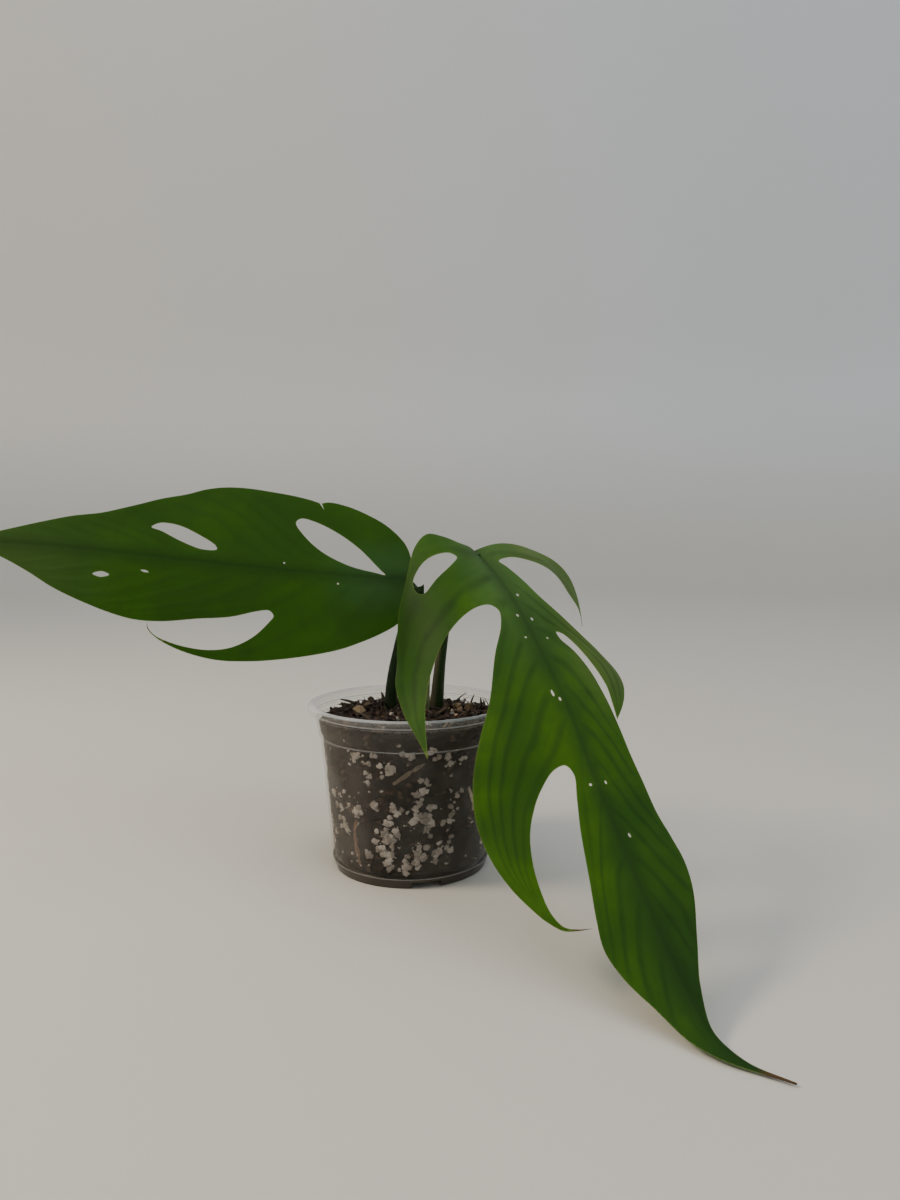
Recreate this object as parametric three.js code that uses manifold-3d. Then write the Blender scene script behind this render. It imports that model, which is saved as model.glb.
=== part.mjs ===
// A young split-leaved pothos in a clear nursery pot: pot, potting mix, buried stem, three roots
// that show at the wall, two leaves with their stalks, and a dry old sheath.
// Millimetres, +Z up. The origin is on the pot's axis, where its foot meets the table.
// The front is towards -Y: one leaf stands out to -X, the other droops forward and to +X.
import * as THREE from "three";
import { mergeVertices } from "three/addons/utils/BufferGeometryUtils.js";
import Module from "manifold-3d";

const wasm = await Module();
wasm.setup();

// Driving dimensions
const POT = {
  height: 95,
  rimRadius: 60,
  mouthRadius: 55.4,
  rimDepth: 3.9,
  shoulderRadius: 52.6,
  shoulderHeight: 77,
  ringProud: 0.8,
  footRadius: 45.6,
  floorHeight: 5,
  centreFootRadius: 14,
  wall: 1,
  sides: 36,
};
const SLOT = { count: 4, width: 16, height: 3.4, firstAngle: -79, radialDepth: 5 };
const MIX = { top: 84.5, dome: 2.5, rough: 1.6, sides: 40, gap: 0.35, dent: 0.5 };
const CHIPS = { count: 22, smallest: 4, largest: 9, sink: 0.3 };
const FIT_GAP = 0.3;
const BLADE_THICKNESS = 0.8;
const MARGIN_STEP = 6;
const BLADE_EDGE_MAX = 12;
const SEED = 7;

// A leaf blade is drawn flat: along runs down the midrib from the stalk, across is the distance from it.
// Each station of its spine gives the midrib's place, the blade's roll about it, and for each side
// of it the slope at the midrib (fold) and the change of slope per millimetre outwards (curl), in degrees.
const SLOPE_LIMIT = 92;
const LEFT_LEAF = {
  length: 251,
  spine: [
    { along: 0, at: [-1.8, 16, 166.1], roll: -62, near: [3, 0.1], far: [3, 0.06] },
    { along: 28, at: [-29.5, 12, 168.2], roll: -62, near: [3, 0.1], far: [3, 0.06] },
    { along: 64, at: [-65, 7, 171.4], roll: -62, near: [3, 0.1], far: [3, 0.06] },
    { along: 120, at: [-120, -1.4, 177.4], roll: -62, near: [3, 0.1], far: [3, 0.06] },
    { along: 175, at: [-174, -9.8, 184.1], roll: -62, near: [3, 0.1], far: [3, 0.06] },
    { along: 221, at: [-219, -17.4, 188.5], roll: -62, near: [3, 0.1], far: [3, 0.06] },
    { along: 251, at: [-248, -22.4, 189.2], roll: -62, near: [3, 0.1], far: [3, 0.06] },
  ],
  // The margin between sharp tips, from the stalk round the near half and back up the far half
  near: [
    [[-2, 3], [-1, 14], [5, 24], [14, 32], [25, 40], [38, 46], [52, 50], [70, 54], [88, 56.5],
      [105, 57], [120, 55], [134, 51], [143, 44.5], [145.5, 38.5]],
    [[145.5, 38.5], [141, 44], [134, 47.5], [124, 50.5], [110, 51.8], [98, 49.5], [88, 42.5],
      [80, 33], [77, 29], [79, 26], [85, 26.5], [100, 31], [119, 34], [136, 37], [150, 37.5],
      [165, 35], [180, 31], [196, 25.5], [210, 18], [225, 10], [238, 4], [251, 0.5]],
  ],
  far: [
    [[-2, -3], [-3, -12], [0, -22], [4, -28], [12, -36], [23, -43], [36, -48.5], [49, -50.5],
      [54, -49]],
    [[54, -49], [60, -51], [70, -53], [84, -54.5], [98, -55], [112, -53.5], [124, -50],
      [134, -45], [148, -39.5], [162, -32.5], [176, -26], [192, -21], [207, -15], [226, -7.5],
      [251, -0.5]],
  ],
  nearHoles: [
    [[176.5, 14.5], [172, 12.5], [167.5, 14.2], [172, 16]],
    [[152, 9.5], [149, 8.6], [146.5, 10], [149, 11]],
  ],
  farHoles: [
    [[69, -33], [66, -36.5], [56, -34.5], [41, -27], [29, -18], [16, -5], [13, -1.8], [20, -3],
      [34, -6], [50, -13.5], [61, -23]],
    [[150, -19], [146, -22.5], [136, -22.5], [122, -17], [113, -11.5], [112, -9], [120, -8],
      [133, -12], [144, -17]],
  ],
};
const RIGHT_LEAF = {
  length: 313,
  spine: [
    { along: 0, at: [37.7, 3, 183.1], roll: 0, near: [-27, 1.22], far: [-44, 2.1] },
    { along: 20, at: [44.3, -14.5, 175.5], roll: 0, near: [-24, 1.22], far: [-26, 1.6] },
    { along: 52.6, at: [54.4, -40.9, 159.6], roll: 0, near: [-17, 1.1], far: [0, 1] },
    { along: 90, at: [65, -68.7, 136.5], roll: 0, near: [0, 0.6], far: [12, 0.5] },
    { along: 133, at: [76.2, -98, 107.9], roll: 0, near: [6, 0.3], far: [18, 0.3] },
    { along: 173, at: [85.5, -122.6, 77.2], roll: 0, near: [8, 0.15], far: [20, 0.3] },
    { along: 218, at: [96.5, -151.3, 44.8], roll: 0, near: [8, 0.15], far: [20, 0.3] },
    { along: 260, at: [107.2, -179.4, 16.2], roll: 0, near: [8, 0.15], far: [18, 0.2] },
    { along: 280, at: [113, -194.5, 5.2], roll: 0, near: [6, 0.1], far: [12, 0.1] },
    { along: 296, at: [121, -207.5, 1.8], roll: 0, near: [0, 0], far: [4, 0] },
    { along: 313, at: [134, -219.2, 1.2], roll: 0, near: [0, 0], far: [0, 0] },
  ],
  near: [
    [[-1, 2], [1, 12], [4, 26], [8, 40], [14, 53], [22, 64], [31, 73], [40, 81]],
    [[40, 81], [40, 72], [36, 62], [30, 51], [23, 39], [19, 26], [16, 14], [18, 7], [26, 8],
      [42, 11], [57, 15], [70, 23], [80, 32], [90, 43], [100, 50], [110, 49], [119, 44],
      [128, 37], [135, 29.5]],
    [[135, 29.5], [126, 31], [115, 32.5], [101, 30], [89, 25], [82, 19], [81, 15], [86, 15],
      [93, 20], [106, 24], [123, 25], [137, 25], [152, 26], [169, 27], [184, 28], [198, 31],
      [209, 32], [225, 27], [244, 16], [261, 7], [278, 2.2], [292, 0.9], [313, 0.5]],
  ],
  far: [
    [[-1, -2], [-2, -12], [-6, -22], [-6, -31], [-1, -39], [7, -46], [17, -55], [30, -67],
      [45, -75], [62, -79], [80, -78.5], [100, -77], [118, -74.5], [132, -72]],
    [[132, -72], [112, -69], [97, -65], [83, -58], [68, -46], [59, -32], [55, -20], [56, -14],
      [62, -11], [72, -13.5], [89, -23], [113, -34], [133, -45], [154, -54], [170, -57.5],
      [186, -57], [201, -52.5], [211, -47], [220, -41.5], [226, -37.5], [228.6, -31], [229.5, -26]],
    [[229.5, -26], [227.3, -31], [224.5, -36.5], [218, -40], [208, -41.5], [195, -41], [182, -38],
      [171, -32], [163, -25], [158, -17], [157.5, -10], [164, -7.5], [174, -10], [188, -14],
      [209, -19], [226, -23.5], [238, -25], [249, -22], [260, -17], [270, -11], [280, -6.2],
      [290, -3.4], [300, -1.4], [313, -0.5]],
  ],
  nearHoles: [],
  farHoles: [
    [[15, -45], [11, -38], [10, -30], [12, -22], [17, -19], [23, -25], [28, -35], [32, -45],
      [27, -49], [20, -49]],
  ],
};

// Stalks, from the buried stem to the blade: places on the centre line and the radius at each
const LEFT_STALK = {
  route: [[-3, 10, 50], [-9, 9.2, 70], [-11, 9.5, 86], [-10.2, 10, 104], [-7, 11, 122],
    [-2.2, 12.5, 141], [2.9, 14.3, 151], [3.6, 16.4, 157.5], [-1, 18.4, 163.6], [-10, 16.6, 166.6]],
  radii: [3.6, 4.6, 4.7, 3.9, 3.3, 3.1, 3.2, 3.1, 2.6, 1.8],
};
const RIGHT_STALK = {
  route: [[7.5, 9.5, 54.5], [13.6, 9, 72], [15.6, 9, 88], [16.8, 9, 104], [18.6, 8.6, 122],
    [21.6, 8, 142], [26.2, 7.5, 159], [31.5, 7, 173], [36, 4.5, 180.6], [40, -3.5, 179.6]],
  radii: [3.6, 4.5, 4.4, 3.8, 3.3, 3, 2.8, 2.9, 2.7, 1.9],
};
const MIDRIB = { baseRadius: 1.9, tipRadius: 0.5, sunk: 0.35, endShare: 0.93, sides: 6 };
const STEM = {
  route: [[-14, 13, 30], [-8, 11, 40], [-1, 10, 48], [7, 9.5, 54]],
  radii: [4.6, 5.4, 5.6, 4.6],
};
const OLD_SHEATH = {
  route: [[9.4, 2.2, 76], [9.6, 1.8, 88], [9.9, 1.6, 100], [11, 2, 112], [13.2, 2.6, 122]],
  halfWidths: [2.6, 2.6, 2.3, 1.7, 0.7],
  thickness: 0.9,
};
const ROOTS = [
  { name: "root_left", depth: 0.2, radii: [1.6, 2, 2.1, 1.7],
    points: [[-130, 36], [-132, 27], [-131, 18], [-129, 10]] },
  { name: "root_middle", depth: 0.2, radii: [1.1, 1.5, 1.5, 1],
    points: [[-101, 59], [-95, 63], [-88, 67], [-80, 71]] },
  { name: "root_right", depth: 0.2, radii: [0.9, 1.1, 1.1, 0.8],
    points: [[-49, 54], [-46, 49], [-43.5, 44], [-42, 39]] },
];

const COLOURS = {
  pot: 0xb9bdba,
  mix: 0x2a211b,
  stem: 0x5a6b2f,
  root: 0x9a7a54,
  leftLeaf: 0x24470d,
  rightLeaf: 0x3a6316,
  sheath: 0xa39a72,
};

const degrees = THREE.MathUtils.degToRad;

// Mulberry generator: the same numbers on every run
function randomFrom(seed) {
  let state = seed;
  return () => {
    state = (state + 0x6d2b79f5) | 0;
    let value = Math.imul(state ^ (state >>> 15), 1 | state);
    value = (value + Math.imul(value ^ (value >>> 7), 61 | value)) ^ value;
    return ((value ^ (value >>> 14)) >>> 0) / 4294967296;
  };
}

// Smooth curve through uneven stations: each row is a station's position and its values
function alongStations(stations, rows, position) {
  const last = stations.length - 1;
  let index = 0;
  while (index < last - 1 && position > stations[index + 1]) index += 1;
  const gradient = (at) => rows[0].map((_, column) => {
    const rise = (from) => (rows[from + 1][column] - rows[from][column])
      / (stations[from + 1] - stations[from]);
    if (at === 0) return rise(0);
    if (at === last) return rise(last - 1);
    const before = stations[at] - stations[at - 1];
    const after = stations[at + 1] - stations[at];
    return (rise(at - 1) * after + rise(at) * before) / (before + after);
  });
  if (position <= stations[0]) {
    return rows[0].map((value, column) => value + (position - stations[0]) * gradient(0)[column]);
  }
  if (position >= stations[last]) {
    return rows[last].map((value, column) => value
      + (position - stations[last]) * gradient(last)[column]);
  }
  const span = stations[index + 1] - stations[index];
  const u = (position - stations[index]) / span;
  const start = gradient(index);
  const end = gradient(index + 1);
  return rows[index].map((value, column) => (2 * u ** 3 - 3 * u ** 2 + 1) * value
    + (u ** 3 - 2 * u ** 2 + u) * span * start[column]
    + (3 * u ** 2 - 2 * u ** 3) * rows[index + 1][column]
    + (u ** 3 - u ** 2) * span * end[column]);
}

// The surface of a blade: from its flat drawing to its place in space
function bladeSurface(leaf) {
  const stations = leaf.spine.map((station) => station.along);
  const rows = leaf.spine.map(({ at, roll, near, far }) => [...at, roll, ...near, ...far]);
  const values = (along) => alongStations(stations, rows, along);
  const midrib = (along) => new THREE.Vector3(...values(along).slice(0, 3));
  const frame = (along) => {
    const forward = midrib(along + 0.5).sub(midrib(along - 0.5)).normalize();
    const side = new THREE.Vector3(0, 0, 1).cross(forward).normalize();
    const up = forward.clone().cross(side);
    const roll = degrees(values(along)[3]);
    const across = side.clone().multiplyScalar(Math.cos(roll)).addScaledVector(up, Math.sin(roll));
    return { forward, across, normal: forward.clone().cross(across) };
  };
  const place = (along, distance) => {
    const [, , , , nearFold, nearCurl, farFold, farCurl] = values(along);
    const fold = distance >= 0 ? nearFold : farFold;
    const curl = distance >= 0 ? nearCurl : farCurl;
    const steps = 24;
    const step = Math.abs(distance) / steps;
    let reach = 0;
    let drop = 0;
    for (let index = 0; index < steps; index += 1) {
      const share = (fold + curl * (index + 0.5) * step) / SLOPE_LIMIT;
      const slope = degrees(SLOPE_LIMIT * share / (1 + Math.abs(share) ** 6) ** (1 / 6));
      reach += Math.cos(slope) * step;
      drop += Math.sin(slope) * step;
    }
    const { across, normal } = frame(along);
    return midrib(along).addScaledVector(across, Math.sign(distance) * reach)
      .addScaledVector(normal, -drop);
  };
  return { midrib, frame, place };
}

// Points along a margin: a smooth run through its drawn points, with a step of about MARGIN_STEP
function marginPoints(drawn, closed = false) {
  const curve = new THREE.CatmullRomCurve3(
    drawn.map(([along, across]) => new THREE.Vector3(along, across, 0)), closed, "centripetal");
  const spans = closed ? drawn.length : drawn.length - 1;
  const points = [];
  for (let index = 0; index < spans; index += 1) {
    const [fromAlong, fromAcross] = drawn[index];
    const [toAlong, toAcross] = drawn[(index + 1) % drawn.length];
    const length = Math.hypot(toAlong - fromAlong, toAcross - fromAcross);
    const pieces = Math.max(1, Math.round(length / MARGIN_STEP));
    for (let piece = 0; piece < pieces; piece += 1) {
      const point = curve.getPoint((index + piece / pieces) / spans);
      points.push(new THREE.Vector2(point.x, point.y));
    }
  }
  return points;
}

// Closed outline of one half of a blade, between its midrib and its margin
function halfOutline(leaf, runs) {
  const end = new THREE.Vector2(leaf.length, 0);
  const outline = [new THREE.Vector2(0, 0)];
  runs.forEach((run) => outline.push(...marginPoints(run)));
  const [lastAlong, lastAcross] = runs.at(-1).at(-1);
  outline.push(new THREE.Vector2(lastAlong, lastAcross), end);
  const ribPieces = Math.round(leaf.length / BLADE_EDGE_MAX);
  for (let piece = ribPieces - 1; piece > 0; piece -= 1) {
    outline.push(new THREE.Vector2(leaf.length * piece / ribPieces, 0));
  }
  return outline;
}

function signedArea(points, [a, b, c]) {
  return (points[b].x - points[a].x) * (points[c].y - points[a].y)
    - (points[b].y - points[a].y) * (points[c].x - points[a].x);
}

function edgesOf(triangles) {
  const edges = new Map();
  triangles.forEach((triangle, index) => triangle.forEach((from, corner) => {
    const to = triangle[(corner + 1) % 3];
    const key = Math.min(from, to) * 65536 + Math.max(from, to);
    if (!edges.has(key)) edges.set(key, []);
    edges.get(key).push({ index, from, to, opposite: triangle[(corner + 2) % 3] });
  }));
  return edges;
}

function angleAt(points, corner, left, right) {
  const a = points[left].clone().sub(points[corner]);
  const b = points[right].clone().sub(points[corner]);
  return Math.abs(Math.atan2(a.cross(b), a.dot(b)));
}

// One pass over the inner edges: turn each that lies badly between its two triangles
function turnEdges(points, triangles) {
  const touched = new Set();
  edgesOf(triangles).forEach((sides) => {
    if (sides.length < 2 || sides.some(({ index }) => touched.has(index))) return;
    const [{ index: first, from, to, opposite: top }, { index: second, opposite: below }] = sides;
    const facing = angleAt(points, top, from, to) + angleAt(points, below, from, to);
    if (facing < Math.PI + 0.001) return;
    const left = [from, below, top];
    const right = [below, to, top];
    if (signedArea(points, left) < 1e-4 || signedArea(points, right) < 1e-4) return;
    triangles[first] = left;
    triangles[second] = right;
    touched.add(first).add(second);
  });
  return touched.size > 0;
}

// One pass over the inner edges: halve each that is too long
function halveEdges(points, triangles) {
  const touched = new Set();
  edgesOf(triangles).forEach((sides) => {
    if (sides.length < 2 || sides.some(({ index }) => touched.has(index))) return;
    const [{ index: first, from, to, opposite: top }, { index: second, opposite: below }] = sides;
    if (points[from].distanceTo(points[to]) < BLADE_EDGE_MAX) return;
    const middle = points.push(points[from].clone().lerp(points[to], 0.5)) - 1;
    triangles[first] = [from, middle, top];
    triangles[second] = [to, middle, below];
    triangles.push([middle, to, top], [middle, from, below]);
    touched.add(first).add(second);
  });
  return touched.size > 0;
}

// Even triangles over a flat outline with holes, its margin points kept as they are
function triangulated(outline, holes) {
  const contour = THREE.ShapeUtils.isClockWise(outline) ? outline.slice().reverse() : outline;
  const points = [...contour, ...holes.flat()].map((point) => point.clone());
  const fixed = points.length;
  const triangles = THREE.ShapeUtils.triangulateShape(contour, holes)
    .map((triangle) => (signedArea(points, triangle) < 0 ? triangle.slice().reverse() : triangle));
  do {
    while (turnEdges(points, triangles));
  } while (halveEdges(points, triangles));
  const neighbours = points.map(() => new Set());
  triangles.forEach(([a, b, c]) => {
    neighbours[a].add(b).add(c);
    neighbours[b].add(a).add(c);
    neighbours[c].add(a).add(b);
  });
  for (let index = fixed; index < points.length; index += 1) {
    const before = points[index].clone();
    const mean = new THREE.Vector2();
    neighbours[index].forEach((other) => mean.add(points[other]));
    points[index].copy(mean.divideScalar(neighbours[index].size));
    const around = triangles.filter((triangle) => triangle.includes(index));
    if (around.some((triangle) => signedArea(points, triangle) < 0.5)) points[index].copy(before);
  }
  return { points, triangles };
}

function geometryFrom(positions, indices) {
  const geometry = new THREE.BufferGeometry();
  geometry.setAttribute("position", new THREE.Float32BufferAttribute(positions, 3));
  geometry.setIndex(indices);
  return geometry;
}

// Both halves of a blade, as one closed leaf-thick body
function bladeGeometry(leaf, surface) {
  const points = [];
  const triangles = [];
  const known = new Map();
  [[leaf.near, leaf.nearHoles], [leaf.far, leaf.farHoles]].forEach(([runs, holes]) => {
    const half = triangulated(halfOutline(leaf, runs), holes.map((hole) => marginPoints(hole, true)));
    const numbers = half.points.map((point) => {
      const key = `${point.x.toFixed(4)}_${point.y.toFixed(4)}`;
      if (!known.has(key)) known.set(key, points.push(point) - 1);
      return known.get(key);
    });
    half.triangles.forEach((triangle) => triangles.push(triangle.map((corner) => numbers[corner])));
  });
  const middle = geometryFrom(
    points.flatMap((point) => surface.place(point.x, point.y).toArray()), triangles.flat());
  middle.computeVertexNormals();
  const place = middle.getAttribute("position");
  const normal = middle.getAttribute("normal");
  const positions = [];
  [BLADE_THICKNESS / 2, -BLADE_THICKNESS / 2].forEach((offset) => {
    for (let index = 0; index < points.length; index += 1) {
      positions.push(place.getX(index) + normal.getX(index) * offset,
        place.getY(index) + normal.getY(index) * offset,
        place.getZ(index) + normal.getZ(index) * offset);
    }
  });
  const under = points.length;
  const indices = triangles.flatMap(([a, b, c]) => [a, b, c, under + c, under + b, under + a]);
  edgesOf(triangles).forEach((sides) => {
    if (sides.length > 1) return;
    const [{ from, to }] = sides;
    indices.push(to, from, under + from, to, under + from, under + to);
  });
  return geometryFrom(positions, indices);
}

// A lathe of the given radii, bent along a route; flatten thins it across its width
function bentLathe(route, radii, sides, pieces, flatten = 1) {
  const curve = new THREE.CatmullRomCurve3(route.map((place) => new THREE.Vector3(...place)));
  const radiusAt = new THREE.SplineCurve(
    radii.map((radius, index) => new THREE.Vector2(index / (radii.length - 1), radius)));
  const profile = [new THREE.Vector2(0, 0)];
  for (let piece = 0; piece <= pieces; piece += 1) {
    profile.push(new THREE.Vector2(radiusAt.getPoint(piece / pieces).y, piece));
  }
  profile.push(new THREE.Vector2(0, pieces));
  const geometry = new THREE.LatheGeometry(profile, sides);
  const position = geometry.getAttribute("position");
  const frames = curve.computeFrenetFrames(pieces, false);
  for (let index = 0; index < position.count; index += 1) {
    const station = Math.round(position.getY(index));
    const place = curve.getPointAt(station / pieces)
      .addScaledVector(frames.normals[station], position.getZ(index))
      .addScaledVector(frames.binormals[station], position.getX(index) * flatten);
    position.setXYZ(index, place.x, place.y, place.z);
  }
  return geometry;
}

// The midrib stands out under the blade, thick at the stalk and fine at the tip
function midribGeometry(leaf, surface) {
  const count = 14;
  const route = [];
  const radii = [];
  for (let index = 0; index <= count; index += 1) {
    const share = index / count;
    const along = leaf.length * MIDRIB.endShare * share;
    const radius = THREE.MathUtils.lerp(MIDRIB.baseRadius, MIDRIB.tipRadius, share ** 0.7);
    const { normal } = surface.frame(along);
    const drop = BLADE_THICKNESS / 2 + radius * MIDRIB.sunk;
    route.push(surface.midrib(along).addScaledVector(normal, -drop).toArray());
    radii.push(radius);
  }
  return bentLathe(route, radii, MIDRIB.sides, 36);
}

function solidFrom(geometry) {
  const bare = geometry.clone();
  bare.deleteAttribute("normal");
  bare.deleteAttribute("uv");
  const merged = mergeVertices(bare, 1e-4);
  const index = merged.getIndex();
  const kept = [];
  for (let corner = 0; corner < index.count; corner += 3) {
    const [a, b, c] = [index.getX(corner), index.getX(corner + 1), index.getX(corner + 2)];
    if (a !== b && b !== c && c !== a) kept.push(a, b, c);
  }
  return new wasm.Manifold(new wasm.Mesh({
    numProp: 3,
    vertProperties: new Float32Array(merged.getAttribute("position").array),
    triVerts: new Uint32Array(kept),
  }));
}

function geometryOf(solid) {
  const { numProp, vertProperties, triVerts } = solid.getMesh();
  const positions = [];
  for (let start = 0; start < vertProperties.length; start += numProp) {
    positions.push(...vertProperties.subarray(start, start + 3));
  }
  return geometryFrom(positions, Array.from(triVerts));
}

function joined(solids) {
  return solids.reduce((whole, solid) => whole.add(solid));
}

function leafSolid(leaf, stalk) {
  const surface = bladeSurface(leaf);
  const parts = [
    bladeGeometry(leaf, surface),
    midribGeometry(leaf, surface),
    bentLathe(stalk.route, stalk.radii, 9, 30),
  ];
  return joined(parts.map(solidFrom));
}

// Outer radius of the pot's wall at a height
function wallRadius(height) {
  const share = THREE.MathUtils.clamp(height / POT.shoulderHeight, 0, 1);
  return THREE.MathUtils.lerp(POT.footRadius, POT.shoulderRadius, share);
}

function potSolid() {
  const { wall, floorHeight: floor, centreFootRadius: foot, shoulderHeight: shoulder } = POT;
  const bandRadius = POT.shoulderRadius + POT.ringProud;
  const underRim = POT.height - POT.rimDepth;
  const profile = [
    [0, 0], [foot, 0], [foot + 1.5, 0.6], [foot + 4, floor - 0.6], [foot + 6, floor],
    [POT.footRadius - 2.2, floor], [POT.footRadius - 1.3, floor - 0.8], [POT.footRadius - 1.2, 0],
    [POT.footRadius, 0], [wallRadius(floor), floor], [wallRadius(shoulder * 0.5), shoulder * 0.5],
    [wallRadius(shoulder - 1), shoulder - 1], [bandRadius, shoulder],
    [POT.mouthRadius + wall - 0.2, underRim - 0.6], [POT.mouthRadius + wall + 0.4, underRim],
    [POT.rimRadius - 0.5, underRim], [POT.rimRadius, underRim + 0.6], [POT.rimRadius, POT.height - 1],
    [POT.rimRadius - 1, POT.height], [POT.mouthRadius + 0.8, POT.height],
    [POT.mouthRadius, POT.height - 1], [POT.mouthRadius - 0.4, underRim - 1],
    [bandRadius - wall, shoulder + 0.6], [wallRadius(shoulder) - wall, shoulder - 1.4],
    [wallRadius(shoulder * 0.5) - wall, shoulder * 0.5], [wallRadius(floor) - wall, floor + 2],
    [wallRadius(floor) - wall - 1, floor + wall], [foot + 5.4, floor + wall],
    [foot + 2.6, floor], [foot - 0.2, 1.8], [foot - 1.6, wall], [0, wall],
  ].map(([radius, height]) => new THREE.Vector2(radius, height));
  const lathe = new THREE.LatheGeometry(profile, POT.sides);
  lathe.rotateX(Math.PI / 2);
  let pot = solidFrom(lathe);
  for (let index = 0; index < SLOT.count; index += 1) {
    const cutter = new THREE.BoxGeometry(SLOT.radialDepth * 2, SLOT.width, SLOT.height * 2);
    cutter.translate(POT.footRadius, 0, 0);
    cutter.rotateZ(degrees(SLOT.firstAngle + 360 * index / SLOT.count));
    pot = pot.subtract(solidFrom(cutter));
  }
  return pot;
}

// Height of the mix: a low dome, with waves and seeded lumps
function mixHeight(radius, angle, lump) {
  const share = radius / POT.mouthRadius;
  const dome = MIX.dome * (1 - share ** 2);
  const waves = Math.sin(3 * angle + 0.8) * Math.cos(radius / 9) + 0.6 * Math.sin(5 * angle - radius / 7);
  return MIX.top + dome + MIX.rough * (0.45 * waves + lump);
}

// The mix fills the pot: under its rough top the profile follows the wall, the floor and the foot
function mixSolid(random) {
  const inner = (height) => wallRadius(height) - POT.wall - MIX.gap;
  const { floorHeight: floor, centreFootRadius: foot, shoulderHeight: shoulder } = POT;
  const clear = floor + POT.wall + MIX.gap;
  const topRadius = THREE.MathUtils.lerp(POT.shoulderRadius + POT.ringProud, POT.mouthRadius, 0.55)
    - POT.wall - MIX.gap;
  const rings = [
    [foot - 2, POT.wall + MIX.gap], [foot + 2.2, floor + MIX.gap], [foot + 5, clear],
    [inner(floor) - 1.6, clear], [inner(floor + 3), floor + 3], [inner(18), 18], [inner(30), 30],
    [inner(42), 42], [inner(54), 54], [inner(66), 66], [inner(shoulder) - 0.3, shoulder - 2],
    [inner(shoulder), shoulder + 1.5], [topRadius, MIX.top - 1],
    [topRadius - 2.5, null], [topRadius - 9, null], [topRadius - 16, null], [topRadius - 23, null],
    [topRadius - 30, null], [topRadius - 37, null], [topRadius - 44, null],
  ];
  const positions = [0, 0, POT.wall + MIX.gap];
  rings.forEach(([radius, height], ring) => {
    for (let side = 0; side < MIX.sides; side += 1) {
      const angle = 2 * Math.PI * side / MIX.sides;
      const lump = random() - 0.5;
      const onWall = ring > 3 && height !== null;
      const own = onWall ? radius - MIX.dent * random() : radius;
      const level = height ?? mixHeight(radius, angle, lump);
      positions.push(own * Math.cos(angle), own * Math.sin(angle), level);
    }
  });
  positions.push(0, 0, mixHeight(0, 0, 0));
  const indices = [];
  const at = (ring, side) => 1 + ring * MIX.sides + side % MIX.sides;
  const summit = 1 + rings.length * MIX.sides;
  for (let side = 0; side < MIX.sides; side += 1) {
    indices.push(0, at(0, side + 1), at(0, side));
    for (let ring = 0; ring < rings.length - 1; ring += 1) {
      indices.push(at(ring, side), at(ring, side + 1), at(ring + 1, side));
      indices.push(at(ring, side + 1), at(ring + 1, side + 1), at(ring + 1, side));
    }
    indices.push(at(rings.length - 1, side), at(rings.length - 1, side + 1), summit);
  }
  return solidFrom(geometryFrom(positions, indices));
}

// Bark chips and perlite grains, half sunk in the top of the mix
function chipSolids(random) {
  const chips = [];
  for (let index = 0; index < CHIPS.count; index += 1) {
    const angle = index * degrees(137.5);
    const radius = 46 * Math.sqrt((index + 0.5) / CHIPS.count);
    const size = THREE.MathUtils.lerp(CHIPS.smallest, CHIPS.largest, random());
    const chip = new THREE.IcosahedronGeometry(size / 2, 0);
    chip.scale(1, 0.75, 0.5);
    chip.rotateX(degrees(40 * (random() - 0.5)));
    chip.rotateZ(2 * Math.PI * random());
    chip.translate(radius * Math.cos(angle), radius * Math.sin(angle),
      mixHeight(radius, angle, 0) + size * (0.25 - CHIPS.sink));
    chips.push(solidFrom(chip));
  }
  return chips;
}

// A root lies against the wall: its points are angles round the pot and heights
function rootSolid(root, extra) {
  const route = root.points.map(([angle, height]) => {
    const middle = root.radii[1] + root.depth + FIT_GAP;
    const radius = wallRadius(height) - POT.wall - middle;
    return [radius * Math.cos(degrees(angle)), radius * Math.sin(degrees(angle)), height];
  });
  return solidFrom(bentLathe(route, root.radii.map((radius) => radius + extra), 7, 8));
}

function stemSolid(extra) {
  return solidFrom(bentLathe(STEM.route, STEM.radii.map((radius) => radius + extra), 10, 8));
}

function stalkHole(stalk) {
  const wider = stalk.radii.map((radius) => radius + FIT_GAP * 1.5);
  const buried = 5;
  return solidFrom(bentLathe(stalk.route.slice(0, buried), wider.slice(0, buried), 9, 10));
}

function sheathSolid(extra) {
  const halfWidths = OLD_SHEATH.halfWidths.map((width) => width + extra);
  const flatten = (OLD_SHEATH.thickness / 2 + extra) / (OLD_SHEATH.halfWidths[1] + extra);
  return solidFrom(bentLathe(OLD_SHEATH.route, halfWidths, 8, 12, flatten));
}

function named(name, solid, colour, roughness) {
  const material = new THREE.MeshStandardMaterial({ color: colour, roughness, metalness: 0 });
  const mesh = new THREE.Mesh(geometryOf(solid), material);
  mesh.name = name;
  return mesh;
}

const random = randomFrom(SEED);
const plant = new THREE.Group();

const stem = stemSolid(0);
const stemHole = stemSolid(FIT_GAP);
const leftLeaf = leafSolid(LEFT_LEAF, LEFT_STALK).subtract(stemHole);
const rightLeaf = leafSolid(RIGHT_LEAF, RIGHT_STALK).subtract(stemHole);
const holes = [
  stemHole, stalkHole(LEFT_STALK), stalkHole(RIGHT_STALK), sheathSolid(FIT_GAP * 1.5),
  ...ROOTS.map((root) => rootSolid(root, FIT_GAP)),
];
const mix = joined([mixSolid(random), ...chipSolids(random)]).subtract(joined(holes));

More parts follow.
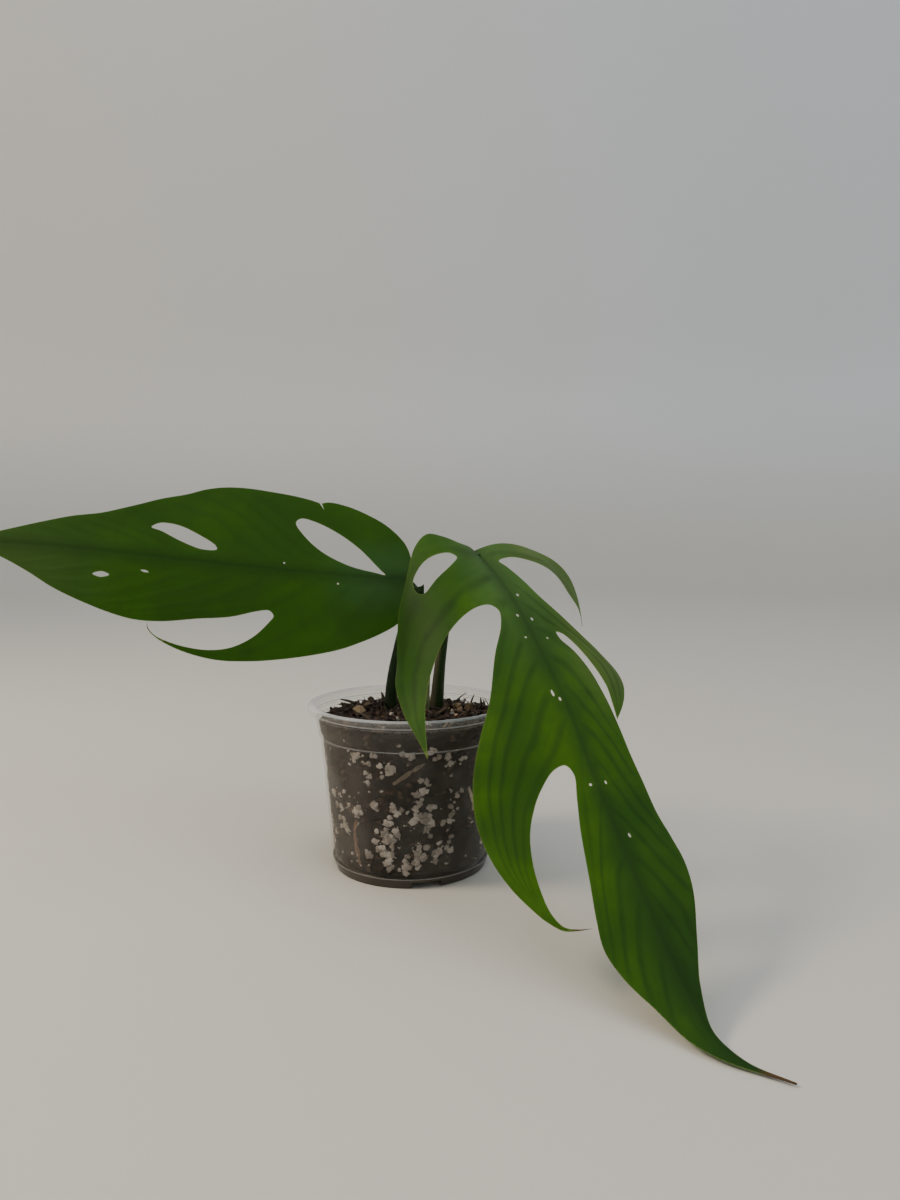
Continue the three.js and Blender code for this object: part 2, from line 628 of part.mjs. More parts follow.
plant.add(named("pot", potSolid(), COLOURS.pot, 0.25));
plant.add(named("potting_mix", mix, COLOURS.mix, 0.95));
plant.add(named("stem", stem, COLOURS.stem, 0.6));
ROOTS.forEach((root) => plant.add(named(root.name, rootSolid(root, 0), COLOURS.root, 0.8)));
plant.add(named("leaf_left", leftLeaf, COLOURS.leftLeaf, 0.45));
plant.add(named("leaf_right", rightLeaf, COLOURS.rightLeaf, 0.45));
plant.add(named("old_sheath", sheathSolid(0), COLOURS.sheath, 0.8));

export default plant;
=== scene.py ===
"""A young split-leaved pothos in a clear nursery pot, dressed and lit for a studio picture.

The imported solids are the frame. Each part of the plant is a class that builds its finer meshes in
the same place and gives them their finish. Sizes are millimetres, as on the real plant, and become
metres where a mesh is made.
"""

import logging
import math
import random
from dataclasses import dataclass, field
from enum import Enum
from typing import Sequence

import bmesh
import bpy
import numpy as np
from mathutils import Matrix, Vector, kdtree, noise


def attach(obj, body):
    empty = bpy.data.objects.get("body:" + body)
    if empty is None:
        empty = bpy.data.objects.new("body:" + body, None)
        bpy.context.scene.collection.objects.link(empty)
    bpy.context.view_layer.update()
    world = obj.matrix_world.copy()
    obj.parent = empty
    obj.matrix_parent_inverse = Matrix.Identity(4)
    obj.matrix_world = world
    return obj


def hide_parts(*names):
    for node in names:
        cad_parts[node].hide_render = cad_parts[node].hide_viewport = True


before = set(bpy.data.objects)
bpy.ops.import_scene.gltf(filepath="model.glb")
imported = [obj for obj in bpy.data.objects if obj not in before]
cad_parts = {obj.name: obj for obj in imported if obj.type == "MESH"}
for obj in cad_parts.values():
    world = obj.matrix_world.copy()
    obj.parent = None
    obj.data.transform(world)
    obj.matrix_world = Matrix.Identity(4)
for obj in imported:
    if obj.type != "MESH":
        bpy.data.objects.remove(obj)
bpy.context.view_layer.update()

MM = 0.001
WELD = 1e-4
BODY = "root"
UP = Vector((0, 0, 1))

Point = tuple[float, float]
Place = tuple[float, float, float]
Colour = tuple[float, float, float, float]
Lump = tuple[Vector, float, Place]

log = logging.getLogger("pothos")


class Slot(Enum):
    """The record's material slots."""

    POT = "pot"
    MIX = "potting_mix"
    ROOT = "root"
    LEFT_LEAF = "leaf_left"
    RIGHT_LEAF = "leaf_right"
    SHEATH = "old_sheath"


class Side(Enum):
    """The two halves of a blade; the value is the sign of the distance from the midrib."""

    NEAR = 1
    FAR = -1


def colour(code: str) -> Colour:
    """The linear colour of a six-figure display colour.

    Args:
        code: Red, green and blue as hexadecimal pairs.

    Returns:
        Linear red, green and blue with full alpha.
    """
    shares = [int(code[start : start + 2], 16) / 255 for start in (0, 2, 4)]
    linear = [x / 12.92 if x <= 0.04045 else ((x + 0.055) / 1.055) ** 2.4 for x in shares]
    return (linear[0], linear[1], linear[2], 1.0)


class Amount:
    """A number that changes over a surface. Arithmetic on it adds Math nodes."""

    def __init__(self, shader: "Shader", socket: bpy.types.NodeSocket) -> None:
        """Wraps one output socket of a shader's tree."""
        self.shader = shader
        self.socket = socket

    def __add__(self, other: "Amount | float") -> "Amount":
        """Sum."""
        return self.shader.maths("ADD", self, other)

    def __sub__(self, other: "Amount | float") -> "Amount":
        """Difference."""
        return self.shader.maths("SUBTRACT", self, other)

    def __rsub__(self, other: float) -> "Amount":
        """Difference from a number."""
        return self.shader.maths("SUBTRACT", other, self)

    def __mul__(self, other: "Amount | float") -> "Amount":
        """Product."""
        return self.shader.maths("MULTIPLY", self, other)

    def __pow__(self, other: float) -> "Amount":
        """Power."""
        return self.shader.maths("POWER", self, other)

    def __abs__(self) -> "Amount":
        """Size without the sign."""
        return self.shader.maths("ABSOLUTE", self)

    __radd__ = __add__
    __rmul__ = __mul__

    def highest(self, other: "Amount | float") -> "Amount":
        """The larger of two amounts."""
        return self.shader.maths("MAXIMUM", self, other)

    def fraction(self) -> "Amount":
        """What is left above the whole number."""
        return self.shader.maths("FRACT", self)

    def step(self, low: float, high: float) -> "Amount":
        """A smooth step from 0 at low to 1 at high, or the other way round.

        Args:
            low: Where the step gives 0.
            high: Where it gives 1.

        Returns:
            The step, between 0 and 1.
        """
        if low > high:
            return 1 - self.step(high, low)
        settings = {"interpolation_type": "SMOOTHSTEP"}
        sockets = {"Value": self, "From Min": low, "From Max": high}
        made = self.shader.node("ShaderNodeMapRange", settings, sockets)
        return Amount(self.shader, made.outputs["Result"])


class Shader:
    """The node tree of one material, around its Principled surface."""

    def __init__(self, name: str) -> None:
        """Starts a material of that name."""
        self.material = bpy.data.materials.new(name)
        self.material.use_nodes = True
        self.tree = self.material.node_tree
        self.surface = self.tree.nodes["Principled BSDF"]
        self.place = self.node("ShaderNodeTexCoord").outputs["Object"]

    def node(self, kind: str, settings: dict | None = None,
             sockets: dict | None = None) -> bpy.types.Node:
        """Adds a node.

        Args:
            kind: The node's type.
            settings: Its properties, set first.
            sockets: Values or links of its inputs, by name or number.

        Returns:
            The new node.
        """
        made = self.tree.nodes.new(kind)
        for key, value in (settings or {}).items():
            setattr(made, key, value)
        for key, value in (sockets or {}).items():
            self.feed(made.inputs[key], value)
        return made

    def feed(self, socket: bpy.types.NodeSocket, value: object) -> None:
        """Sets an input, or links it.

        Args:
            socket: The input.
            value: A value, a colour's code, or the output to link to it.
        """
        if isinstance(value, Amount):
            value = value.socket
        if isinstance(value, bpy.types.NodeSocket):
            self.tree.links.new(value, socket)
        else:
            socket.default_value = colour(value) if isinstance(value, str) else value

    def maths(self, operation: str, *values: "Amount | float") -> Amount:
        """One Math node.

        Args:
            operation: Its operation.
            values: Its inputs, in order.

        Returns:
            Its result.
        """
        made = self.node("ShaderNodeMath", {"operation": operation}, dict(enumerate(values)))
        return Amount(self, made.outputs[0])

    def attribute(self, name: str) -> Amount:
        """A number that the mesh carries."""
        made = self.node("ShaderNodeAttribute", {"attribute_name": name})
        return Amount(self, made.outputs["Fac"])

    def grain(self, size: float, detail: float = 3.0, stretch: Place = (1, 1, 1)) -> Amount:
        """Soft noise on the object's own coordinates.

        Args:
            size: Rough size of its spots in millimetres.
            detail: Levels of finer noise on top.
            stretch: How many times longer the spots are along each axis.

        Returns:
            The noise, about 0 to 1 around 0.5.
        """
        scale = tuple(1 / (size * MM * times) for times in stretch)
        point = self.node("ShaderNodeMapping", None, {"Vector": self.place, "Scale": scale})
        sockets = {"Vector": point.outputs[0], "Scale": 1.0, "Detail": detail}
        made = self.node("ShaderNodeTexNoise", None, sockets)
        return Amount(self, made.outputs[0])

    def cells(self, size: float) -> Amount:
        """A cell pattern on the object's own coordinates.

        Args:
            size: Rough size of its cells in millimetres.

        Returns:
            The distance from the nearest cell's middle.
        """
        sockets = {"Vector": self.place, "Scale": 1 / (size * MM)}
        made = self.node("ShaderNodeTexVoronoi", None, sockets)
        return Amount(self, made.outputs["Distance"])

    def coordinate(self, axis: str) -> Amount:
        """The object's own coordinate along one axis, in metres."""
        made = self.node("ShaderNodeSeparateXYZ", None, {0: self.place})
        return Amount(self, made.outputs[axis])

    def mix(self, share: "Amount | float", first: object, second: object) -> bpy.types.NodeSocket:
        """A colour between two.

        Args:
            share: 0 for the first, 1 for the second.
            first: Colour's code or socket.
            second: Colour's code or socket.

        Returns:
            The colour's socket.
        """
        settings = {"data_type": "RGBA", "clamp_factor": True}
        made = self.node("ShaderNodeMix", settings, {0: share, 6: first, 7: second})
        return made.outputs[2]

    def bump(self, height: Amount, depth: float) -> None:
        """Gives the surface a relief.

        Args:
            height: Its height, as shares of the depth.
            depth: Its depth in millimetres.
        """
        sockets = {"Height": height, "Distance": depth * MM, "Strength": 1.0}
        relief = self.node("ShaderNodeBump", None, sockets)
        self.feed(self.surface.inputs["Normal"], relief.outputs[0])

    def set(self, **sockets: object) -> None:
        """Sets inputs of the surface; an underscore in a name stands for a space."""
        for key, value in sockets.items():
            self.feed(self.surface.inputs[key.replace("_", " ")], value)


@dataclass(frozen=True)
class LeafFinish:
    """A living blade: glossy above, paler and matt below, with darker veins, and with painted sheen
    and painted shade laid into its green above.

    Places are millimetres, along the midrib or aside from it, with the near side positive.
    """

    name: str
    vein: str
    body: str
    glow: str
    # The grey-green of the painted sheen near the base, close to the midrib.
    painted_sheen: str
    below: str
    # The dark green of the painted shade towards the tip and on the far lobe.
    painted_shade: str
    roughness: float
    specular: float
    vein_share: float
    lobe_painted_shade: float
    near_lobe_sheen_share: float
    painted_sheen_until: float
    tip_from: float
    # The lighter olive of the painted sheen on the near lobes.
    near_lobe_sheen: str = "62743a"
    margin: str = "8f9a52"
    vein_below: str = "8fa35a"
    withered: str = "4a3820"
    speck_size: float = 0.5
    mottle_size: float = 6
    patch_size: float = 17
    cloud_size: float = 38
    pore_size: float = 0.9
    midrib_core: Point = (3.4, 0.4)
    midrib_halo: Point = (10, 0.5)
    midrib_below: Point = (2.4, 0.6)
    vein_fade: Point = (0.5, 6)
    margin_line: Point = (0.42, 0.1)
    tip_reach: float = 70
    tip_end: Point = (50, 100)
    tip_aside: Point = (-12, 3)
    lobe_aside: Point = (-18, -58)
    lobe_along: Point = (115, 60)
    near_lobe_sheen_aside: Point = (8, 30)
    near_lobe_sheen_along: Point = (150, 90)
    sheen_aside: Point = (30, 4)
    scatter: Place = (0.9, 1.0, 0.2)
    relief: float = 0.05

    def material(self) -> bpy.types.Material:
        """Builds the material from the blade's own measures.

        Returns:
            The finished material.
        """
        shader = Shader(self.name)
        under = shader.attribute("under")
        speck = shader.grain(self.speck_size, 4)
        mottle = shader.grain(self.mottle_size, 2)
        patch = shader.grain(self.patch_size, 3)
        cloud = shader.grain(self.cloud_size, 2)
        edge = shader.attribute("edge")
        rib = abs(shader.attribute("rib"))
        number = shader.attribute("side_vein") + (cloud - 0.5) * 0.9
        fine = abs((number * 3 + mottle * 0.6).fraction() - 0.5).step(0.3, 0.5) * 0.12
        broad = abs(number.fraction() - 0.5).step(0.18, 0.5) * (patch * 0.8 + 0.3)
        vein = (broad * self.vein_share).highest(fine * self.vein_share)
        vein = vein * (edge.step(*self.vein_fade) * 0.65 + 0.35)
        middle = (rib.step(*self.midrib_core) * 0.58).highest(rib.step(*self.midrib_halo) * 0.42)
        green = self.lamina(shader, speck, mottle, patch, cloud)
        top = shader.mix(vein.highest(middle), green, self.vein)
        top = shader.mix(edge.step(*self.margin_line) * 0.35, top, self.margin)
        low = (vein + rib.step(*self.midrib_below) * 0.5) * 0.5
        skin = shader.mix(under, top, shader.mix(low, self.below, self.vein_below))
        dry = shader.attribute("dry").step(0.25, 0.75)
        rough = self.roughness + speck * 0.14 + under * 0.15 + patch * 0.08
        shader.set(Base_Color=shader.mix(dry, skin, self.withered), Roughness=rough)
        shader.set(Specular_IOR_Level=self.specular, Subsurface_Weight=0.05)
        shader.set(Subsurface_Scale=0.0006, Subsurface_Radius=self.scatter)
        shader.bump(speck * 0.5 + shader.cells(self.pore_size) * 0.5 + patch * 2.5, self.relief)
        return shader.material

    def lamina(self, shader: Shader, speck: Amount, mottle: Amount, patch: Amount,
               cloud: Amount) -> bpy.types.NodeSocket:
        """The blade's green above, between the veins, with its painted sheen and painted shade.

        Args:
            shader: The material's shader.
            speck: Its finest noise.
            mottle: Noise of a few millimetres.
            patch: Noise of a finger's width.
            cloud: Noise of several fingers' width.

        Returns:
            The colour's socket.
        """
        aside = shader.attribute("rib")
        along = shader.attribute("along")
        green = shader.mix(cloud.step(0.36, 0.62), self.body, self.glow)
        green = shader.mix(patch.step(0.5, 0.74) * 0.5, green, self.body)
        green = shader.mix(mottle.step(0.42, 0.7) * 0.3, green, self.body)
        # Painted shade: darker green towards the tip, more on the near half, and on the far lobe by
        # the base.
        tip = along.step(self.tip_from, self.tip_from + self.tip_reach)
        tip = tip * (aside.step(*self.tip_aside) * 0.7 + 0.3) * 0.8
        end = along.step(self.tip_from + self.tip_end[0], self.tip_from + self.tip_end[1]) * 0.9
        lobe = aside.step(*self.lobe_aside) * along.step(*self.lobe_along) * self.lobe_painted_shade
        green = shader.mix(tip.highest(end).highest(lobe), green, self.painted_shade)
        # Painted sheen: a lighter olive on the near lobes towards the base.
        near_lobe_sheen = aside.step(*self.near_lobe_sheen_aside) * along.step(*self.near_lobe_sheen_along) * self.near_lobe_sheen_share
        green = shader.mix(near_lobe_sheen, green, self.near_lobe_sheen)
        # Painted sheen: grey-green laid over the blade from its base along the midrib, standing in
        # for the gloss reflecting the light.
        sheen = along.step(self.painted_sheen_until, self.painted_sheen_until * 0.3)
        sheen = sheen * abs(aside).step(*self.sheen_aside)
        green = shader.mix(sheen * 0.65, green, self.painted_sheen)
        # Fine random specks in the grey-green of the painted sheen.
        return shader.mix(speck.step(0.5, 0.75) * 0.1, green, self.painted_sheen)


@dataclass(frozen=True)
class StalkFinish:
    """A leaf stalk: dark green, darker and duller towards the mix."""

    name: str
    upper: str
    lower: str
    soil: float = 0.7
    flank: float = 0.0
    streak: str = "3b5222"
    weathered: str = "5f5546"
    dirt: str = "3a2c1a"
    relief: float = 0.06

    def material(self) -> bpy.types.Material:
        """Builds the material.

        Returns:
            The finished material.
        """
        shader = Shader(self.name)
        height = shader.attribute("rise")
        streak = shader.grain(0.7, 3, (1, 1, 18))
        patch = shader.grain(7, 3)
        body = shader.mix(height.step(0.1, 0.75), self.lower, self.upper)
        body = shader.mix(streak.step(0.45, 0.75) * 0.3, body, self.streak)
        lean = shader.attribute("lean").step(-0.1, 0.75) * height.step(1.0, 0.6) * self.flank
        body = shader.mix(lean, body, self.weathered)
        dirt = height.step(0.16, 0.02) * patch.step(0.35, 0.6) * self.soil
        body = shader.mix(dirt, body, self.dirt)
        shader.set(Base_Color=body, Roughness=0.4 + patch * 0.2, Specular_IOR_Level=0.25)
        shader.set(Subsurface_Weight=0.08, Subsurface_Scale=0.001)
        shader.bump(streak, self.relief)
        return shader.material


@dataclass(frozen=True)
class DryFinish:
    """Dry plant matter: an old sheath, a root or a fibre."""

    name: str
    light: str
    dark: str
    grain: float = 0.6
    stretch: Place = (1, 1, 12)
    relief: float = 0.15

    def material(self) -> bpy.types.Material:
        """Builds the material.

        Returns:
            The finished material.
        """
        shader = Shader(self.name)
        streak = shader.grain(self.grain, 4, self.stretch)
        patch = shader.grain(self.grain * 8, 3)
        body = shader.mix(streak.step(0.35, 0.68), self.light, self.dark)
        body = shader.mix(patch.step(0.45, 0.75) * 0.5, body, self.dark)
        shader.set(Base_Color=body, Roughness=0.62 + streak * 0.25)
        shader.bump(streak + patch * 0.5, self.relief)
        return shader.material


@dataclass(frozen=True)
class CrumbFinish:
    """Pieces of the mix: each carries its own tone between a dark and a light colour."""

    name: str
    dark: str
    light: str
    spot: str
    grain: float
    relief: float

    def material(self) -> bpy.types.Material:
        """Builds the material.

        Returns:
            The finished material.
        """
        shader = Shader(self.name)
        fine = shader.grain(self.grain, 5)
        pit = shader.cells(self.grain * 2.2)
        body = shader.mix(shader.attribute("tone"), self.dark, self.light)
        body = shader.mix(fine.step(0.48, 0.72) * 0.6, body, self.spot)
        shader.set(Base_Color=body, Roughness=0.8 + fine * 0.15, Specular_IOR_Level=0.3)
        shader.bump(fine + pit * 0.6, self.relief)
        return shader.material


@dataclass(frozen=True)
class SoilFinish:
    """The body of the mix: near black, with brown peat and bark showing in it."""

    name: str = "damp_peat_and_bark"
    damp: str = "0f0c0a"
    peat: str = "211a15"
    bark: str = "2f2119"
    lump: str = "54402d"
    relief: float = 0.35

    def material(self) -> bpy.types.Material:
        """Builds the material.

        Returns:
            The finished material.
        """
        shader = Shader(self.name)
        coarse = shader.grain(6, 4)
        fine = shader.grain(1.8, 3)
        lump = shader.cells(3.4)
        body = shader.mix(fine.step(0.35, 0.65), self.damp, self.peat)
        body = shader.mix(coarse.step(0.5, 0.72) * 0.5, body, self.bark)
        body = shader.mix(lump.step(0.12, 0.02) * 0.25, body, self.lump)
        shader.set(Base_Color=body, Roughness=0.86 + fine * 0.1, Specular_IOR_Level=0.25)
        shader.bump(fine * 0.5 + lump * 0.8, self.relief)
        return shader.material


@dataclass(frozen=True)
class ClearPlasticFinish:
    """Thin clear plastic, slightly smoky, brighter where it is thick or seen at a low angle: painted
    highlights on the rim and the moulded lines, a painted reflection at low angles, and painted shade
    on the foot ring.

    Each painted highlight line round the pot has its height, its half width and its strength.
    """

    name: str = "clear_moulded_plastic"
    warm: str = "a9a49a"
    cool: str = "bcb8b0"
    # The dark colour of the painted shade on the foot ring.
    foot: str = "3a352f"
    # The near-white of the painted highlights on the rim and the moulded lines.
    painted_highlight: str = "d2d8da"
    rim_from: float = 94.2
    foot_until: float = 5.3
    outer_rim: Point = (91.2, 91.8)
    haze: float = 0.028
    rim_highlight: float = 0.36
    foot_painted_shade: float = 0.92
    outer_rim_highlight: float = 0.07
    low_angle_reflection: float = 0.5
    highlight_lines: Sequence[Place] = (
        (77, 0.4, 0.34),
        (5.4, 0.5, 0.14),
        (90.2, 0.3, 0.45),
        (88.9, 0.22, 0.22),
    )
    refraction: float = 1.49
    relief: float = 0.4

    def material(self) -> bpy.types.Material:
        """Builds the material.

        Returns:
            The finished material.
        """
        shader = Shader(self.name)
        level = shader.coordinate("Z") * (1 / MM)
        facing = shader.node("ShaderNodeLayerWeight", None, {"Blend": 0.22})
        glancing = Amount(shader, facing.outputs["Facing"])
        dust = shader.grain(2.6, 4)
        cloud = shader.grain(22, 4)
        # Painted highlights: thin bright lines along the moulded ridges round the pot.
        highlight_lines = level * 0
        for place, width, strength in self.highlight_lines:
            highlight_lines = highlight_lines.highest(abs(level - place).step(width, 0) * strength)
        # The top of the rim, and the outer rim band below it, carry a painted highlight.
        rim = level.step(self.rim_from - 0.3, self.rim_from + 0.3)
        # Painted shade: the foot ring below the floor is dark and nearly opaque, standing in for the
        # shade under the pot.
        foot = level.step(self.foot_until + 0.5, self.foot_until - 0.5)
        haze = self.haze + cloud.step(0.4, 0.75) * 0.03 + dust.step(0.52, 0.74) * 0.035
        outer = level.step(*self.outer_rim) * self.outer_rim_highlight
        alpha = haze + (rim * self.rim_highlight).highest(outer) + highlight_lines + foot * self.foot_painted_shade
        # Painted reflection: the plastic turns paler and more opaque where it is seen at a low angle.
        alpha = alpha + (glancing ** 2.0) * self.low_angle_reflection
        body = shader.mix(cloud.step(0.3, 0.7), self.warm, self.cool)
        body = shader.mix(foot, body, self.foot)
        # The painted highlight colour on the rim, the outer rim band and the moulded lines.
        body = shader.mix(rim.highest(highlight_lines * 2.5).highest(outer * 9), body, self.painted_highlight)
        shader.set(Base_Color=body, Roughness=0.12 + dust * 0.16, Alpha=alpha, IOR=self.refraction)
        shader.bump(cloud * 0.8, self.relief)
        return shader.material


@dataclass(frozen=True)
class FloorFinish:
    """A plain pale studio floor, paler where it sweeps up, with painted warm light on the left and
    painted cool light on the right; its places are in metres.
    """

    name: str = "pale_studio_floor"
    tone: str = "c9c6be"
    painted_warm_light: str = "fbf3e6"
    painted_cool_light: str = "dfe4e8"
    half_width: float = 2.4
    sweep_between: Point = (0.02, 0.9)

    def material(self) -> bpy.types.Material:
        """Builds the material.

        Returns:
            The finished material.
        """
        shader = Shader(self.name)
        # Painted light: the sweep is tinted warm on the left and cool on the right.
        aside = shader.coordinate("X").step(-self.half_width, self.half_width)
        level = shader.coordinate("Z").step(*self.sweep_between)
        sweep = shader.mix(aside, self.painted_warm_light, self.painted_cool_light)
        body = shader.mix(level, self.tone, sweep)
        shader.set(Base_Color=body, Roughness=0.7, Specular_IOR_Level=0.2)
        return shader.material


def finished(name: str, shape: bmesh.types.BMesh, material: bpy.types.Material,
             replaces: str | None = None, sharp: float = 50) -> bpy.types.Object:
    """Turns a shape in millimetres into a piece of the object.

    Args:
        name: The piece's name.
        shape: Its shape, which is freed.
        material: Its finish.
        replaces: The solid that the piece stands for.
        sharp: Edges steeper than this many degrees stay sharp.

    Returns:
        The object.
    """
    bmesh.ops.transform(shape, matrix=Matrix.Scale(MM, 4), verts=shape.verts)
    mesh = bpy.data.meshes.new(name)
    shape.to_mesh(mesh)
    shape.free()
    mesh.shade_smooth()
    mesh.set_sharp_from_angle(angle=math.radians(sharp))
    mesh.materials.append(material)
    piece = bpy.data.objects.new(name, mesh)
    bpy.context.scene.collection.objects.link(piece)
    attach(piece, BODY)
    if replaces:
        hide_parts(replaces)
    log.info("%s: %d faces", name, len(mesh.polygons))
    return piece


def hermite(share: np.ndarray, span: object, start: np.ndarray, end: np.ndarray,
            leave: np.ndarray, arrive: np.ndarray) -> np.ndarray:
    """Points on the smooth curve between two ends.

    Args:
        share: How far along each point is, from 0 to 1.
        span: The distance that the directions are measured over.
        start: The first end.
        end: The other end.
        leave: The direction at the first end.
        arrive: The direction at the other end.

    Returns:
        One row for each share.
    """
    return (
        (2 * share**3 - 3 * share**2 + 1) * start
        + (share**3 - 2 * share**2 + share) * span * leave
        + (3 * share**2 - 2 * share**3) * end
        + (share**3 - share**2) * span * arrive
    )


def smooth_run(drawn: Sequence[Sequence[float]], step: float, closed: bool = False) -> np.ndarray:
    """Points along a centripetal Catmull-Rom curve through the drawn points.

    Args:
        drawn: The drawn points, in two or three dimensions.
        step: Rough distance between the new points.
        closed: True for a loop.

    Returns:
        The points, one row each; a loop leaves out the repeated first one.
    """
    points = np.array(drawn, float)
    count = len(points)
    spans = count if closed else count - 1
    rows = []
    for index in range(spans):
        start, end = points[index], points[(index + 1) % count]
        before = points[index - 1] if closed or index else 2 * start - end
        after = points[(index + 2) % count] if closed or index < count - 2 else 2 * end - start
        legs = ((before, start), (start, end), (end, after))
        gaps = [math.sqrt(np.linalg.norm(b - a)) or 1.0 for a, b in legs]
        middle = (end - start) / gaps[1]
        leave = (start - before) / gaps[0] - (end - before) / (gaps[0] + gaps[1]) + middle
        arrive = middle - (after - start) / (gaps[1] + gaps[2]) + (after - end) / gaps[2]
        pieces = max(1, round(np.linalg.norm(end - start) / step))
        share = np.arange(pieces)[:, None] / pieces
        rows.append(hermite(share, gaps[1], start, end, leave, arrive))
    if not closed:
        rows.append(points[-1:])
    return np.concatenate(rows)


def along_stations(stations: np.ndarray, rows: np.ndarray, positions: np.ndarray) -> np.ndarray:
    """A smooth curve through uneven stations.

    Args:
        stations: Position of each station.
        rows: The values at each station.
        positions: Where the values are wanted.

    Returns:
        One row of values for each position.
    """
    gaps = np.diff(stations)[:, None]
    rise = np.diff(rows, axis=0) / gaps
    middle = (rise[:-1] * gaps[1:] + rise[1:] * gaps[:-1]) / (gaps[1:] + gaps[:-1])
    gradient = np.concatenate([rise[:1], middle, rise[-1:]])
    low = np.clip(np.searchsorted(stations, positions) - 1, 0, len(stations) - 2)
    inside = np.clip(positions, stations[0], stations[-1])
    share = ((inside - stations[low]) / gaps[low, 0])[:, None]
    high = low + 1
    values = hermite(share, gaps[low], rows[low], rows[high], gradient[low], gradient[high])
    beyond = (positions - inside)[:, None]
    ends = np.where(beyond < 0, gradient[0], gradient[-1])
    return values + beyond * ends


def spread_along(values: Sequence[float], count: int) -> np.ndarray:
    """Values spread evenly over that many points, with straight steps between them."""
    places = np.linspace(0, len(values) - 1, count)
    return np.interp(places, range(len(values)), values)


def unit(rows: np.ndarray) -> np.ndarray:
    """Rows scaled to length one."""
    return rows / np.linalg.norm(rows, axis=-1, keepdims=True)


def steps_between(value: np.ndarray, low: float, high: float) -> np.ndarray:
    """A smooth step from 0 at low to 1 at high."""
    share = np.clip((value - low) / (high - low), 0, 1)
    return share * share * (3 - 2 * share)


def only(kind: type, items: Sequence[object]) -> list:
    """The items of one kind, such as the points among all that an operator made."""
    return [item for item in items if isinstance(item, kind)]


def lathe(section: Sequence[Point], steps: int) -> bmesh.types.BMesh:
    """Spins a section about the upright axis.

    Args:
        section: The section, as (radius, height), with both ends on the axis or open.
        steps: Sides of the round.

    Returns:
        The shape.
    """
    shape = bmesh.new()
    corners = [shape.verts.new((radius, 0, height)) for radius, height in section]
    for first, second in zip(corners, corners[1:]):
        shape.edges.new((first, second))
    bmesh.ops.spin(shape, geom=shape.verts[:] + shape.edges[:], cent=(0, 0, 0), axis=UP,
                   angle=math.tau, steps=steps, use_merge=True)
    bmesh.ops.remove_doubles(shape, verts=shape.verts, dist=WELD)
    bmesh.ops.recalc_face_normals(shape, faces=shape.faces)
    return shape


@dataclass(frozen=True)
class Station:
    """One place on a blade's midrib.

    The slope of each side is given in degrees at the midrib, and per millimetre outwards.
    """

    along: float
    at: Place
    roll: float
    near: Point
    far: Point


